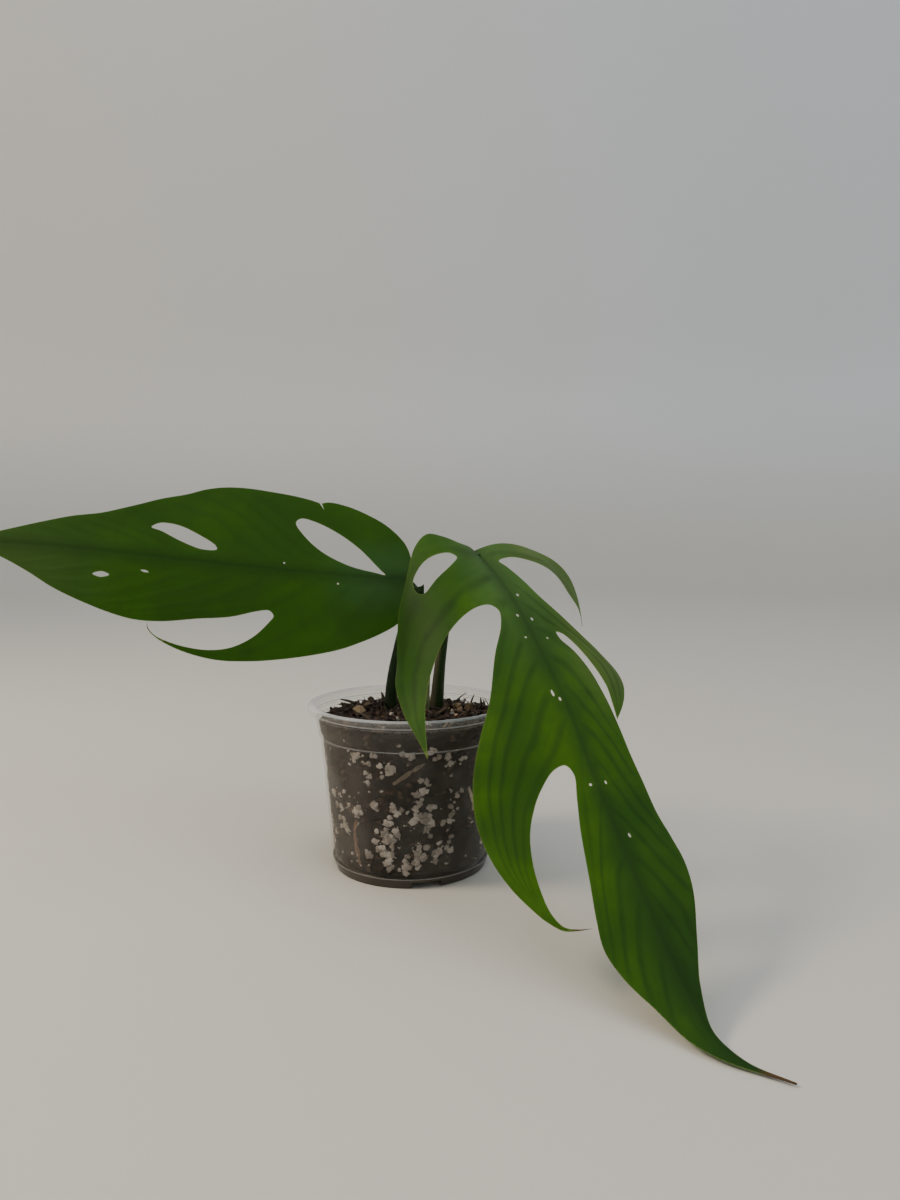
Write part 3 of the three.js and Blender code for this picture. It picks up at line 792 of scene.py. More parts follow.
@dataclass(frozen=True)
class BladeDrawing:
    """A blade drawn flat, as (along the midrib, distance from it), with the spine that bends it.

    A pinhole has its middle and its half sizes. A dry tip has its place, its reach and the side of
    that place where its own lobe lies, or 0 for both sides.
    """

    length: float
    spine: Sequence[Station]
    near: Sequence[Sequence[Point]]
    far: Sequence[Sequence[Point]]
    holes: Sequence[Sequence[Point]]
    pinholes: Sequence[tuple[float, float, float, float]]
    dry_tips: Sequence[tuple[float, float, float, int]]
    near_veins: Sequence[Sequence[Point]]
    far_veins: Sequence[Sequence[Point]]
    twist: float = 0.0
    twist_line: float = 0.42
    twist_from: Point = (34, 66)
    twist_until: float = 46
    slope_limit: float = 92.0
    slope_steps: int = 24
    slope_corner: int = 6
    nudge: float = 0.6
    pinhole_sides: int = 8
    vein_step: float = 4.0

    def values(self, along: np.ndarray) -> np.ndarray:
        """The spine's values at each position along it."""
        stations = np.array([station.along for station in self.spine])
        rows = np.array([[*s.at, s.roll, *s.near, *s.far] for s in self.spine])
        return along_stations(stations, rows, along)

    def frames(self, along: np.ndarray) -> tuple[np.ndarray, np.ndarray, np.ndarray]:
        """Directions at positions along the midrib.

        Args:
            along: The positions.

        Returns:
            The forward, across and normal directions at each.
        """
        forward = unit(self.values(along + 0.5)[:, :3] - self.values(along - 0.5)[:, :3])
        side = unit(np.cross(np.array(UP), forward))
        up = np.cross(forward, side)
        roll = np.radians(self.values(along)[:, 3:4])
        across = side * np.cos(roll) + up * np.sin(roll)
        return forward, across, np.cross(forward, across)

    def place(self, along: np.ndarray, distance: np.ndarray) -> np.ndarray:
        """Bends flat points into space.

        Args:
            along: Their positions along the midrib.
            distance: Their distances from it, near side positive.

        Returns:
            One row of coordinates in millimetres for each.
        """
        values = self.values(along)
        near = (distance >= 0)[:, None]
        fold, curl = np.where(near, values[:, 4:6], values[:, 6:8]).T[:, :, None]
        size = np.abs(distance)[:, None]
        middles = (np.arange(self.slope_steps) + 0.5) / self.slope_steps
        share = (fold + curl * middles * size) / self.slope_limit
        held = (1 + np.abs(share) ** self.slope_corner) ** (1 / self.slope_corner)
        slope = np.radians(self.slope_limit * share / held)
        reach = np.cos(slope).mean(axis=1, keepdims=True) * size
        drop = np.sin(slope).mean(axis=1, keepdims=True) * size
        _, across, normal = self.frames(along)
        return values[:, :3] + np.sign(distance)[:, None] * reach * across - drop * normal

    def normals(self, along: np.ndarray, distance: np.ndarray) -> np.ndarray:
        """The bent surface's normals, on the upper side.

        Args:
            along: Positions along the midrib.
            distance: Distances from it.

        Returns:
            One direction for each point.
        """
        nudge = self.nudge
        lengthwise = self.place(along + nudge, distance) - self.place(along - nudge, distance)
        crosswise = self.place(along, distance + nudge) - self.place(along, distance - nudge)
        return unit(np.cross(lengthwise, crosswise))

    def turn(self, flat: np.ndarray) -> np.ndarray:
        """Turns the first near lobe out of the bent surface about its own line.

        Args:
            flat: Flat points.

        Returns:
            How far each is moved along the normal.
        """
        size = np.maximum(flat[:, 1], 0)
        lobe = (flat[:, 0] < self.twist_until) & (flat[:, 1] > 0)
        lift = lobe * self.twist * (flat[:, 0] - self.twist_line * size)
        return lift * steps_between(size, *self.twist_from)

    def loops(self, step: float) -> list[np.ndarray]:
        """The margin and the holes as closed loops.

        Args:
            step: Rough distance between their points.

        Returns:
            Flat points for each loop, the margin first.
        """
        near = [smooth_run(run, step)[:-1] for run in self.near]
        far = [smooth_run(run, step)[:-1] for run in self.far]
        tip = [self.near[-1][-1], (self.length, 0), self.far[-1][-1]]
        margin = np.concatenate([*near, np.array(tip), np.concatenate(far)[::-1], [[0, 0]]])
        holes = [smooth_run(hole, step, closed=True) for hole in self.holes]
        turn = np.arange(self.pinhole_sides) * math.tau / self.pinhole_sides
        for along, distance, half_length, half_width in self.pinholes:
            lengthwise = along + half_length * np.cos(turn)
            crosswise = distance + half_width * np.sin(turn)
            holes.append(np.stack([lengthwise, crosswise], axis=1))
        return [margin, *holes]

    def vein_numbers(self, flat: np.ndarray, side: Side) -> tuple[np.ndarray, np.ndarray]:
        """Follows the drawn side veins back to the midrib.

        Args:
            flat: Flat points of that side.
            side: The blade's half.

        Returns:
            Where on the midrib the vein through each point starts, and how far out the point is.
        """
        drawn = self.near_veins if side is Side.NEAR else self.far_veins
        offsets, lengths, starts = [], [], []
        for vein in drawn:
            run = smooth_run(vein, self.vein_step)
            first, span = run[:-1], np.diff(run, axis=0)
            size = np.linalg.norm(span, axis=1)
            apart = flat[:, None, :] - first[None]
            share = np.clip((apart * span).sum(axis=2) / size**2, 0, 1)
            miss = np.linalg.norm(apart - share[:, :, None] * span, axis=2)
            best = miss.argmin(axis=1)
            rows = np.arange(len(flat))
            turn = span[best, 0] * apart[rows, best, 1] - span[best, 1] * apart[rows, best, 0]
            offsets.append(-np.sign(turn) * side.value * miss[rows, best])
            before = np.concatenate([[0], np.cumsum(size)])
            lengths.append(before[best] + share[rows, best] * size[best])
            starts.append(vein[0][0])
        offset, length, start = np.array(offsets), np.array(lengths), np.array(starts)
        last = len(drawn) - 1
        count = np.arange(last + 1)[:, None]
        below = np.where(offset > 0, count, -1).max(axis=0)
        low = np.clip(below, 0, last - 1)
        rows = np.arange(len(flat))
        left, right = offset[low, rows], -offset[low + 1, rows]
        total = np.where(np.abs(left + right) < 1e-6, 1e-6, left + right)
        share = np.clip(left / total, 0, 1)
        number = start[low] + share * (start[low + 1] - start[low])
        number = np.where(below < 0, start[0] + offset[0], number)
        number = np.where(below >= last, start[last] + offset[last], number)
        out = (1 - share) * length[low, rows] + share * length[low + 1, rows]
        return number, out


@dataclass
class SplitLeaf:
    """One leaf: its blade with veins and holes, and the rib and stalk that carry it."""

    name: str
    drawing: BladeDrawing
    finish: LeafFinish
    stalk_finish: StalkFinish
    slot: Slot
    stalk: Sequence[Place]
    stalk_radii: Sequence[float]
    stalk_sides: int = 24
    stalk_step: float = 1.6
    stalk_groove: float = 0.16
    ear: Sequence[Point] = ()
    ear_from: float = 14.2
    ear_thickness: float = 1.5
    ear_rounding: float = 0.3
    margin_step: float = 1.4
    fine_margin_step: float = 0.5
    cell: float = 1.15
    cut_width: float = 1e-3
    smallest_edge: float = 0.1
    thickness: float = 0.5
    margin_thickness: float = 0.26
    thin_margin: float = 3
    vein_spacing: float = 20.5
    vein_depth: float = 0.05
    vein_reach: float = 90
    swell: float = 0.16
    swell_inset: float = 9
    wave: float = 0.7
    wave_size: float = 24
    wave_inset: Point = (4, 30)
    groove_depth: float = 0.3
    groove_width: float = 1.1
    rib_radii: Point = (1.45, 0.45)
    rib_end: float = 0.93
    rib_clear: float = 0.12
    rib_rings: int = 90
    rib_sides: int = 10
    sharp: float = 70

    def blank(self) -> bmesh.types.BMesh:
        """Cuts the flat sheet and rules it into small even cells.

        Returns:
            The sheet, with its midrib on a line of edges.
        """
        sheet = bmesh.new()
        for loop in self.drawing.loops(self.margin_step):
            corners = [sheet.verts.new((*point, 0)) for point in loop]
            for first, second in zip(corners, corners[1:] + corners[:1]):
                sheet.edges.new((first, second))
        bmesh.ops.triangle_fill(sheet, use_beauty=True, edges=sheet.edges[:], normal=(0, 0, 1))
        for axis in (0, 1):
            self.rule(sheet, axis)
        self.clear_diagonals(sheet)
        bmesh.ops.remove_doubles(sheet, verts=sheet.verts, dist=self.smallest_edge)
        return sheet

    def rule(self, sheet: bmesh.types.BMesh, axis: int) -> None:
        """Cuts the sheet by evenly spaced planes.

        Args:
            sheet: The sheet.
            axis: The axis that the planes stand across, by its number.
        """
        direction = Vector((0, 0, 0))
        direction[axis] = 1
        places = [vert.co[axis] for vert in sheet.verts]
        first, last = math.ceil(min(places) / self.cell), math.floor(max(places) / self.cell)
        for count in range(first, last + 1):
            everything = sheet.verts[:] + sheet.edges[:] + sheet.faces[:]
            bmesh.ops.bisect_plane(sheet, geom=everything, dist=self.cut_width,
                                   plane_co=direction * count * self.cell, plane_no=direction)

    def clear_diagonals(self, sheet: bmesh.types.BMesh) -> None:
        """Takes out the edges of the fill that run slantwise over the cells.

        Args:
            sheet: The ruled sheet.
        """
        level = 2 * self.cut_width

        def slants(edge: bmesh.types.BMEdge) -> bool:
            """True for an inner edge that follows neither axis."""
            span = edge.verts[0].co - edge.verts[1].co
            return len(edge.link_faces) == 2 and min(abs(span.x), abs(span.y)) > level

        slanting = [edge for edge in sheet.edges if slants(edge)]
        bmesh.ops.dissolve_edges(sheet, edges=slanting, use_verts=False)
        loose = [vert for vert in sheet.verts if len(vert.link_edges) == 2 and not vert.is_boundary]
        bmesh.ops.dissolve_verts(sheet, verts=loose)

    def relief(self, flat: np.ndarray, number: np.ndarray, out: np.ndarray,
               edge: np.ndarray) -> tuple[np.ndarray, np.ndarray, np.ndarray]:
        """Heights of the blade's relief.

        Args:
            flat: Flat points.
            number: Each point's vein number.
            out: Its distance out along the vein.
            edge: Its distance from the margin.

        Returns:
            The middle surface's height, and the half thickness above and below it.
        """
        rib = np.abs(flat[:, 1])
        line = 1 - 2 * np.abs(number - np.floor(number) - 0.5)
        ridge = np.exp(-((line * self.vein_spacing / 2) ** 2) / 0.9)
        inner = steps_between(edge, 0, self.swell_inset)
        away = steps_between(rib, 1, self.swell_inset)
        quilt = self.swell * inner * away * (np.sin(line * math.pi / 2) - 0.5)
        size, seed = self.wave_size, 0.5 + 0.1 * self.drawing.length
        waves = [noise.noise((x / size, y / size, seed)) for x, y in flat]
        margin = self.wave * steps_between(rib, *self.wave_inset) * np.array(waves)
        groove = self.groove_depth * np.exp(-((rib / self.groove_width) ** 2))
        growth = (self.thickness - self.margin_thickness) / 2
        half = self.margin_thickness / 2 + growth * steps_between(edge, 0, self.thin_margin)
        side = self.vein_depth * ridge * inner * steps_between(rib, 0.5, 3)
        side = side * np.exp(-out / self.vein_reach)
        return quilt + margin, half - groove * inner - side * 0.8, half + side * 1.4

    def margin_distance(self, flat: np.ndarray) -> np.ndarray:
        """Distances from the nearest margin, of the blade or of a hole.

        Args:
            flat: Flat points.

        Returns:
            One distance for each.
        """
        margin = np.concatenate(self.drawing.loops(self.fine_margin_step))
        tree = kdtree.KDTree(len(margin))
        for index, point in enumerate(margin):
            tree.insert((*point, 0), index)
        tree.balance()
        return np.array([tree.find((*point, 0))[2] for point in flat])

    def dryness(self, flat: np.ndarray) -> np.ndarray:
        """How withered the blade is, near its dry tips.

        Args:
            flat: Flat points.

        Returns:
            A share for each, from 0 to 1.
        """
        dry = np.zeros(len(flat))
        for along, distance, reach, outwards in self.drawing.dry_tips:
            apart = np.hypot(flat[:, 0] - along, flat[:, 1] - distance)
            own_lobe = (flat[:, 1] - distance) * outwards >= -0.2
            dry = np.maximum(dry, own_lobe * np.clip(1.5 - apart / reach, 0, 1))
        return dry

    def blade(self) -> bpy.types.Object:
        """Builds the blade.

        Returns:
            The blade, in place of the leaf's solid.
        """
        shape = self.blank()
        copied = bmesh.ops.extrude_face_region(shape, geom=shape.faces[:], use_keep_orig=True)
        upper = only(bmesh.types.BMVert, copied["geom"])
        bmesh.ops.translate(shape, verts=upper, vec=(0, 0, 1))
        bmesh.ops.recalc_face_normals(shape, faces=shape.faces)
        cut = np.array([vert.co[:] for vert in shape.verts])
        flat, top = cut[:, :2], cut[:, 2] > 0.5
        edge = self.margin_distance(flat)
        number, out = np.zeros(len(flat)), np.zeros(len(flat))
        for side in Side:
            chosen = flat[:, 1] * side.value >= 0
            number[chosen], out[chosen] = self.drawing.vein_numbers(flat[chosen], side)
        number = number / self.vein_spacing
        height, above, below = self.relief(flat, number, out, edge)
        normal = self.drawing.normals(flat[:, 0], flat[:, 1])
        offset = height + np.where(top, above, -below) + self.drawing.turn(flat)
        place = self.drawing.place(flat[:, 0], flat[:, 1]) + normal * offset[:, None]
        for vert, target in zip(shape.verts, place):
            vert.co = target
        material = self.finish.material()
        piece = finished(f"{self.name}_blade", shape, material, self.name, self.sharp)
        measures = {"side_vein": number + 0.5, "dry": self.dryness(flat), "rib": flat[:, 1],
                    "along": flat[:, 0], "edge": edge, "under": (~top).astype(float)}
        for name, values in measures.items():
            layer = piece.data.attributes.new(name, "FLOAT", "POINT")
            layer.data.foreach_set("value", values.astype(np.float32))
        return piece

    def rib(self) -> np.ndarray:
        """The line of the rib under the blade.

        Returns:
            Its middle at each ring, with its radius in the last column.
        """
        share = np.linspace(0, 1, self.rib_rings)
        along = self.drawing.length * self.rib_end * share
        radius = self.rib_radii[0] + (self.rib_radii[1] - self.rib_radii[0]) * share**0.7
        _, _, normal = self.drawing.frames(along)
        middle = self.drawing.place(along, np.zeros(len(along)))
        centre = middle - normal * (radius + self.rib_clear)[:, None]
        return np.column_stack([centre, radius])

    def stub(self, material: bpy.types.Material) -> None:
        """Builds the flat ear where the stalk's sheath ends beside the blade.

        Args:
            material: Its finish.
        """
        shape = bmesh.new()
        face = shape.faces.new([shape.verts.new((x, self.ear_from, z)) for x, z in self.ear])
        grown = bmesh.ops.extrude_face_region(shape, geom=[face], use_keep_orig=True)["geom"]
        moved = only(bmesh.types.BMVert, grown)
        bmesh.ops.translate(shape, verts=moved, vec=(0, self.ear_thickness, 0))
        bmesh.ops.recalc_face_normals(shape, faces=shape.faces)
        bmesh.ops.bevel(shape, geom=shape.edges[:], affect="EDGES", offset=self.ear_rounding,
                        segments=2, profile=0.5, material=-1)
        finished(f"{self.name}_ear", shape, material)

    def plain_skin(self, part: str, tone: str) -> bpy.types.Material:
        """A stalk's finish in one green, for a small part of that name."""
        return StalkFinish(f"{self.name}_{part}_skin", tone, tone, 0).material()

    def build(self) -> None:
        """Builds the blade, the rib, the ear where the leaf has one, and the stalk."""
        self.blade()
        skin = self.plain_skin("rib", self.finish.below)
        rib = self.rib()
        tube = swept(rib[:, :3], rib[:, 3], self.rib_sides)
        finished(f"{self.name}_rib", tube, skin)
        if self.ear:
            self.stub(self.plain_skin("ear", self.stalk_finish.upper))
        skin = self.stalk_finish.material()
        route = smooth_run(self.stalk, self.stalk_step)
        radii = spread_along(self.stalk_radii, len(route))
        tube = swept(route, radii, self.stalk_sides, groove=self.stalk_groove)
        finished(f"{self.name}_stalk", tube, skin)


def swept(route: np.ndarray, radii: np.ndarray, sides: int, groove: float = 0.0,
          flatten: float = 1.0, spread: float = 0.5) -> bmesh.types.BMesh:
    """Pulls a ring along a route and closes its ends.

    Args:
        route: Points of the centre line.
        radii: The radius at each.
        sides: Sides of the ring.
        groove: Depth of a channel down its upper side, as a share of the radius.
        flatten: Thickness as a share of the width.
        spread: Half the channel's width, as an angle in radians.

    Returns:
        The closed tube.
    """
    tube = bmesh.new()
    rise = tube.verts.layers.float.new("rise")
    lean = tube.verts.layers.float.new("lean")
    ring = bmesh.ops.create_circle(tube, segments=sides, radius=1.0)["verts"]
    pattern = [vert.co.copy() for vert in ring]
    for point in pattern:
        turn = math.atan2(point.y, point.x)
        point *= 1 - groove * math.exp(-((turn / spread) ** 2))
        point.y *= flatten
    tangent = unit(np.gradient(route, axis=0))
    aside = Vector(tangent[0]).orthogonal().normalized()
    edges = tube.edges[:]
    for index, (centre, radius) in enumerate(zip(route, radii)):
        forward = Vector(tangent[index])
        aside = (aside - forward * aside.dot(forward)).normalized()
        other = forward.cross(aside)
        if index:
            grown = bmesh.ops.extrude_edge_only(tube, edges=edges)["geom"]
            ring = only(bmesh.types.BMVert, grown)
            edges = only(bmesh.types.BMEdge, grown)
            edges = [edge for edge in edges if all(vert in ring for vert in edge.verts)]
        for vert, point in zip(ring, pattern):
            outwards = aside * point.x + other * point.y
            vert.co = Vector(centre) + outwards * radius
            vert[rise] = index / (len(route) - 1)
            vert[lean] = -outwards.normalized().x
    bmesh.ops.holes_fill(tube, edges=tube.edges, sides=0)
    bmesh.ops.recalc_face_normals(tube, faces=tube.faces)
    return tube


@dataclass
class NurseryPot:
    """The clear pot: rim, band, shoulder line, wall, foot ring and drain notches."""

    height: float = 95
    rim_radius: float = 60
    mouth_radius: float = 55.4
    rim_depth: float = 3.9
    shoulder_radius: float = 52.6
    shoulder_height: float = 77
    ring_proud: float = 0.8
    foot_radius: float = 45.6
    ring_inset: float = 0.9
    floor: float = 5
    centre_foot: float = 14
    wall: float = 1
    sides: int = 144
    notch_count: int = 4
    notch_width: float = 16
    notch_height: float = 3.4
    notch_depth: float = 10
    first_notch: float = -79
    rounding: float = 0.22
    rounded_from: float = 28
    sharp: float = 32
    finish: ClearPlasticFinish = field(default_factory=ClearPlasticFinish)

    def wall_radius(self, height: float) -> float:
        """Outer radius of the wall at a height."""
        share = min(max(height / self.shoulder_height, 0), 1)
        return self.foot_radius + (self.shoulder_radius - self.foot_radius) * share

    def inner_radius(self, height: float) -> float:
        """Inner radius of the pot.

        Args:
            height: A height up to the mouth.

        Returns:
            The radius there.
        """
        if height <= self.shoulder_height:
            return self.wall_radius(height) - self.wall
        share = (height - self.shoulder_height) / (self.height - self.shoulder_height)
        low = self.shoulder_radius + self.ring_proud - self.wall
        return low + (self.mouth_radius - low) * share

    def section(self) -> list[Point]:
        """The pot's section.

        Returns:
            Points as (radius, height), from the axis below, round the rim, to the axis inside.
        """
        floor, foot, shoulder, wall = self.floor, self.centre_foot, self.shoulder_height, self.wall
        top, under, half = self.height, self.height - self.rim_depth, shoulder * 0.5
        band = self.shoulder_radius + self.ring_proud
        rim, mouth, ring = self.rim_radius, self.mouth_radius, self.foot_radius - self.ring_inset
        radius = self.wall_radius
        foot_below = [
            (0, 0), (foot, 0), (foot + 1.5, 0.6), (foot + 4, floor - 0.6), (foot + 6, floor),
            (ring - 2.2, floor), (ring - 1.3, floor - 0.8), (ring - 1.2, 0), (ring, 0),
        ]
        wall_outside = [
            (radius(floor), floor), (radius(half), half), (radius(shoulder - 1), shoulder - 1),
            (band, shoulder), (mouth + wall - 0.2, under - 0.6), (mouth + wall + 0.4, under),
        ]
        round_the_rim = [
            (rim - 0.5, under), (rim, under + 0.6), (rim, top - 1), (rim - 1, top),
            (mouth + 0.8, top), (mouth, top - 1), (mouth - 0.4, under - 1),
        ]
        wall_inside = [
            (band - wall, shoulder + 0.6), (radius(shoulder) - wall, shoulder - 1.4),
            (radius(half) - wall, half), (radius(floor) - wall, floor + 2),
            (radius(floor) - wall - 1, floor + wall),
        ]
        foot_inside = [
            (foot + 5.4, floor + wall), (foot + 2.6, floor), (foot - 0.2, 1.8),
            (foot - 1.6, wall), (0, wall),
        ]
        return foot_below + wall_outside + round_the_rim + wall_inside + foot_inside

    def build(self) -> bpy.types.Object:
        """Spins the wall, cuts the notches and softens the edges.

        Returns:
            The pot, in place of its solid.
        """
        shape = lathe(self.section(), self.sides)
        pot = finished("pot_shell", shape, self.finish.material(), "pot", self.sharp)
        self.cut_notches(pot)
        self.soften(pot)
        return pot

    def cut_notches(self, pot: bpy.types.Object) -> None:
        """Takes the drain notches out of the foot ring.

        Args:
            pot: The pot.
        """
        boxes = bmesh.new()
        size = Matrix.Diagonal((self.notch_depth, self.notch_width, self.notch_height * 2, 1))
        seat = Matrix.Translation((self.foot_radius, 0, 0))
        for index in range(self.notch_count):
            made = bmesh.ops.create_cube(boxes, size=1.0)["verts"]
            angle = self.first_notch + 360 * index / self.notch_count
            turn = Matrix.Rotation(math.radians(angle), 4, "Z")
            bmesh.ops.transform(boxes, matrix=turn @ seat @ size, verts=made)
        bmesh.ops.transform(boxes, matrix=Matrix.Scale(MM, 4), verts=boxes.verts)
        mesh = bpy.data.meshes.new("notches")
        boxes.to_mesh(mesh)
        boxes.free()
        cutter = bpy.data.objects.new("notches", mesh)
        bpy.context.scene.collection.objects.link(cutter)
        cut = pot.modifiers.new("notches", "BOOLEAN")
        cut.operation = "DIFFERENCE"
        cut.solver = "EXACT"
        cut.object = cutter
        bpy.context.view_layer.update()
        evaluated = pot.evaluated_get(bpy.context.evaluated_depsgraph_get())
        result = bpy.data.meshes.new_from_object(evaluated)
        pot.modifiers.clear()
        pot.data = result
        bpy.data.objects.remove(cutter)

    def soften(self, pot: bpy.types.Object) -> None:
        """Rounds the moulded edges.

        Args:
            pot: The pot.
        """
        edge = pot.modifiers.new("soft_edges", "BEVEL")
        edge.width = self.rounding * MM
        edge.segments = 2
        edge.limit_method = "ANGLE"
        edge.angle_limit = math.radians(self.rounded_from)
        edge.harden_normals = False


@dataclass(frozen=True)
class Cluster:
    """A clump of perlite grains against the wall."""

    angle: float
    height: float
    spread: float
    count: int
    size: float = 3.6


@dataclass(frozen=True)
class Root:
    """A root against the wall, as (angle, height) points from one end to the other."""

    name: str
    points: Sequence[Point]
    radii: Sequence[float]
    light: str
    dark: str


@dataclass
class PottingMix:
    """The fill: peat body, perlite grains, bark, crumbs and shreds of fibre."""

    pot: NurseryPot
    top: float = 87.3
    dome: float = 2.6
    clearance: float = 0.9
    sides: int = 170
    lump_size: float = 4.5
    hill_size: float = 9
    hill_height: float = 1.8
    settling: float = 0.6
    seed: int = 7
    batch: int = 60
    clusters: Sequence[Cluster] = ()
    roots: Sequence[Root] = ()
    grain_shape: Place = (1, 0.9, 0.85)
    small_grain_shape: Place = (1, 0.9, 0.8)
    wall_grains: int = 170
    wall_grain_sizes: Point = (0.8, 2.2)
    top_grains: int = 16
    top_grain_sizes: Point = (1.8, 3.8)
    grain_reach: float = 50
    grain_gap: float = 0.1
    fine_from: float = 2.6
    wall_crumbs: int = 700
    wall_crumb_sizes: Point = (1.6, 5.0)
    top_crumbs: int = 520
    top_crumb_sizes: Point = (1.4, 5.2)
    crumb_reach: float = 50.5
    crumb_gap: float = 0.55
    chips: Sequence[Place] = ()
    top_chips: int = 12
    top_chip_sizes: Point = (4.0, 9.0)
    chip_reach: float = 48
    fibres: int = 460
    fibre_lengths: Point = (4, 14)
    lying_rises: Point = (0.05, 0.5)
    upright_rises: Point = (0.7, 1.4)
    fibre_widths: Sequence[float] = (0.22, 0.35, 0.55, 0.9)
    fibre_taper: Sequence[float] = (1, 0.95, 0.8, 0.55, 0.15)
    root_wobble: float = 0.16

    def __post_init__(self) -> None:
        """Starts the seeded draw."""
        self.draw = random.Random(self.seed)

    def surface(self, radius: float, angle: float) -> float:
        """Height of the mix's top.

        Args:
            radius: Distance from the pot's axis.
            angle: Angle round it in radians.

        Returns:
            The height there.
        """
        share = radius / self.pot.mouth_radius
        x, y = radius * math.cos(angle), radius * math.sin(angle)
        lump = noise.noise((x / self.hill_size, y / self.hill_size, 3.3))
        return self.top + self.dome * (1 - share**2) - self.settling + self.hill_height * lump

    def body(self) -> bpy.types.Object:
        """The peat body: a lathe whose surface is broken up by noise.

        Returns:
            The body, in place of the mix's solid.
        """
        floor, foot, inner = self.pot.floor, self.pot.centre_foot, self.pot.inner_radius
        levels = np.arange(floor + 2.4, self.top - 1.5, 1.5)
        section = [(0, 1.8), (foot - 2.5, 1.9), (foot + 1.7, floor + 0.9), (foot + 5, floor + 1.9)]
        section += [(inner(floor) - 1.8, floor + 1.6)]
        section += [(inner(level) - self.clearance, level) for level in levels]
        radii = [*np.arange(inner(self.top) - 4, 0, -1.6), 0]
        section += [(radius, self.top - 0.8) for radius in radii]
        shape = lathe(section, self.sides)
        for vert in shape.verts:
            self.roughen(vert)
        return finished("mix_body", shape, SoilFinish().material(), "potting_mix", 180)

    def roughen(self, vert: bmesh.types.BMVert) -> None:
        """Moves one point of the body by the mix's lumps.

        Args:
            vert: The point, of the top or of the wall side.
        """
        place = vert.co
        radius, angle = math.hypot(place.x, place.y), math.atan2(place.y, place.x)
        coarse = noise.fractal(place / self.lump_size, 0.9, 2.1, 3)
        if place.z > self.top - 1:
            edge = min(1.0, (self.pot.inner_radius(self.top) - radius) / 6)
            place.z = self.surface(radius, angle) - 1.4 + 1.5 * coarse - 1.2 * (1 - edge)
        elif place.z > self.pot.floor + 2.5 and radius > 1:
            scale = 1 + min(0.6, 1.2 * coarse) / radius
            place.x *= scale
            place.y *= scale

    def lumps(self, name: str, spots: Sequence[Lump], detail: int, rough: float,
              finish: CrumbFinish, gap: float, sharp: float = 180) -> bpy.types.Object:
        """One piece made of many rough lumps.

        Args:
            name: The piece's name.
            spots: Each lump's place, size and proportions.
            detail: Divisions of the ball that a large one starts from.
            rough: How far its surface is broken up, as a share of its size.
            finish: Its material.
            gap: How near to the wall it may come.
            sharp: Edges steeper than this many degrees stay sharp.

        Returns:
            The piece.
        """
        whole = bmesh.new()
        whole.verts.layers.float.new("tone")
        for start in range(0, len(spots), self.batch):
            part = bmesh.new()
            tone = part.verts.layers.float.new("tone")
            for spot, size, stretch in spots[start : start + self.batch]:
                level = detail if size > self.fine_from else 1
                lump = bmesh.ops.create_icosphere(part, subdivisions=level, radius=0.5)["verts"]
                shift = Vector(self.draw.uniform(0, 90) for _ in range(3))
                shade = self.draw.random()
                scale = Matrix.Diagonal((*(size * times for times in stretch), 1))
                seat = Matrix.Translation(spot) @ self.tumbled() @ scale
                for vert in lump:
                    place = vert.co * (1 + rough * noise.noise(vert.co * 3.1 + shift))
                    vert.co = self.kept_inside(seat @ place, gap)
                    vert[tone] = shade
            self.join(whole, part)
        return finished(name, whole, finish.material(), None, sharp)

    def tumbled(self) -> Matrix:
        """A seeded turn, with a lean of up to 0.8 radians.

        Returns:
            The turn.
        """
        turn = Matrix.Rotation(self.draw.uniform(0, math.tau), 4, "Z")
        turn @= Matrix.Rotation(self.draw.uniform(-0.8, 0.8), 4, "X")
        turn @= Matrix.Rotation(self.draw.uniform(0, math.tau), 4, "Z")
        return turn

    def kept_inside(self, place: Vector, gap: float) -> Vector:
        """Presses a point flat where it would come too near to the wall.

        Args:
            place: The point.
            gap: How near it may come.

        Returns:
            The point, moved in where it has to be.
        """
        limit = self.pot.inner_radius(place.z) - gap
        radius = math.hypot(place.x, place.y)
        share = min(1.0, limit / radius) if radius else 1.0
        return Vector((place.x * share, place.y * share, place.z))

    def at_wall(self, angle: float, height: float, size: float) -> Vector:
        """A place where a piece of that size touches the wall from inside."""
        radius = self.pot.inner_radius(height) - size * 0.36
        return Vector((radius * math.cos(angle), radius * math.sin(angle), height))

    def on_top(self, reach: float) -> Vector:
        """A seeded place on the top.

        Args:
            reach: How far from the axis it may be.

        Returns:
            The place.
        """
        radius = reach * math.sqrt(self.draw.random())
        angle = self.draw.uniform(0, math.tau)
        height = self.surface(radius, angle)
        return Vector((radius * math.cos(angle), radius * math.sin(angle), height))

    def over_root(self, angle: float, height: float, size: float) -> bool:
        """Tells whether a piece at the wall would hide a root.

        Args:
            angle: The piece's angle in radians.
            height: Its height.
            size: Its size.

        Returns:
            True where it would.
        """
        around = self.pot.wall_radius(height)
        for root in self.roots:
            run = smooth_run(root.points, 2.0)
            aside = (np.radians(run[:, 0]) - angle) * around
            if np.hypot(aside, run[:, 1] - height).min() < max(root.radii) + size * 0.45:
                return True
        return False

    def clustered_grains(self) -> list[Lump]:
        """The grains of the clusters that show at the wall.

        Returns:
            Their places, sizes and proportions.
        """
        spots = []
        for cluster in self.clusters:
            for _ in range(cluster.count):
                size = cluster.size * self.draw.uniform(0.65, 1.35)
                height = cluster.height + self.draw.gauss(0, cluster.spread)
                turn = self.draw.gauss(0, cluster.spread) / self.pot.wall_radius(height)
                height = min(max(height, self.pot.floor + 3.5), self.top - 3)
                angle = math.radians(cluster.angle) + turn
                if not self.over_root(angle, height, size):
                    spots.append((self.at_wall(angle, height, size), size, self.grain_shape))
        return spots

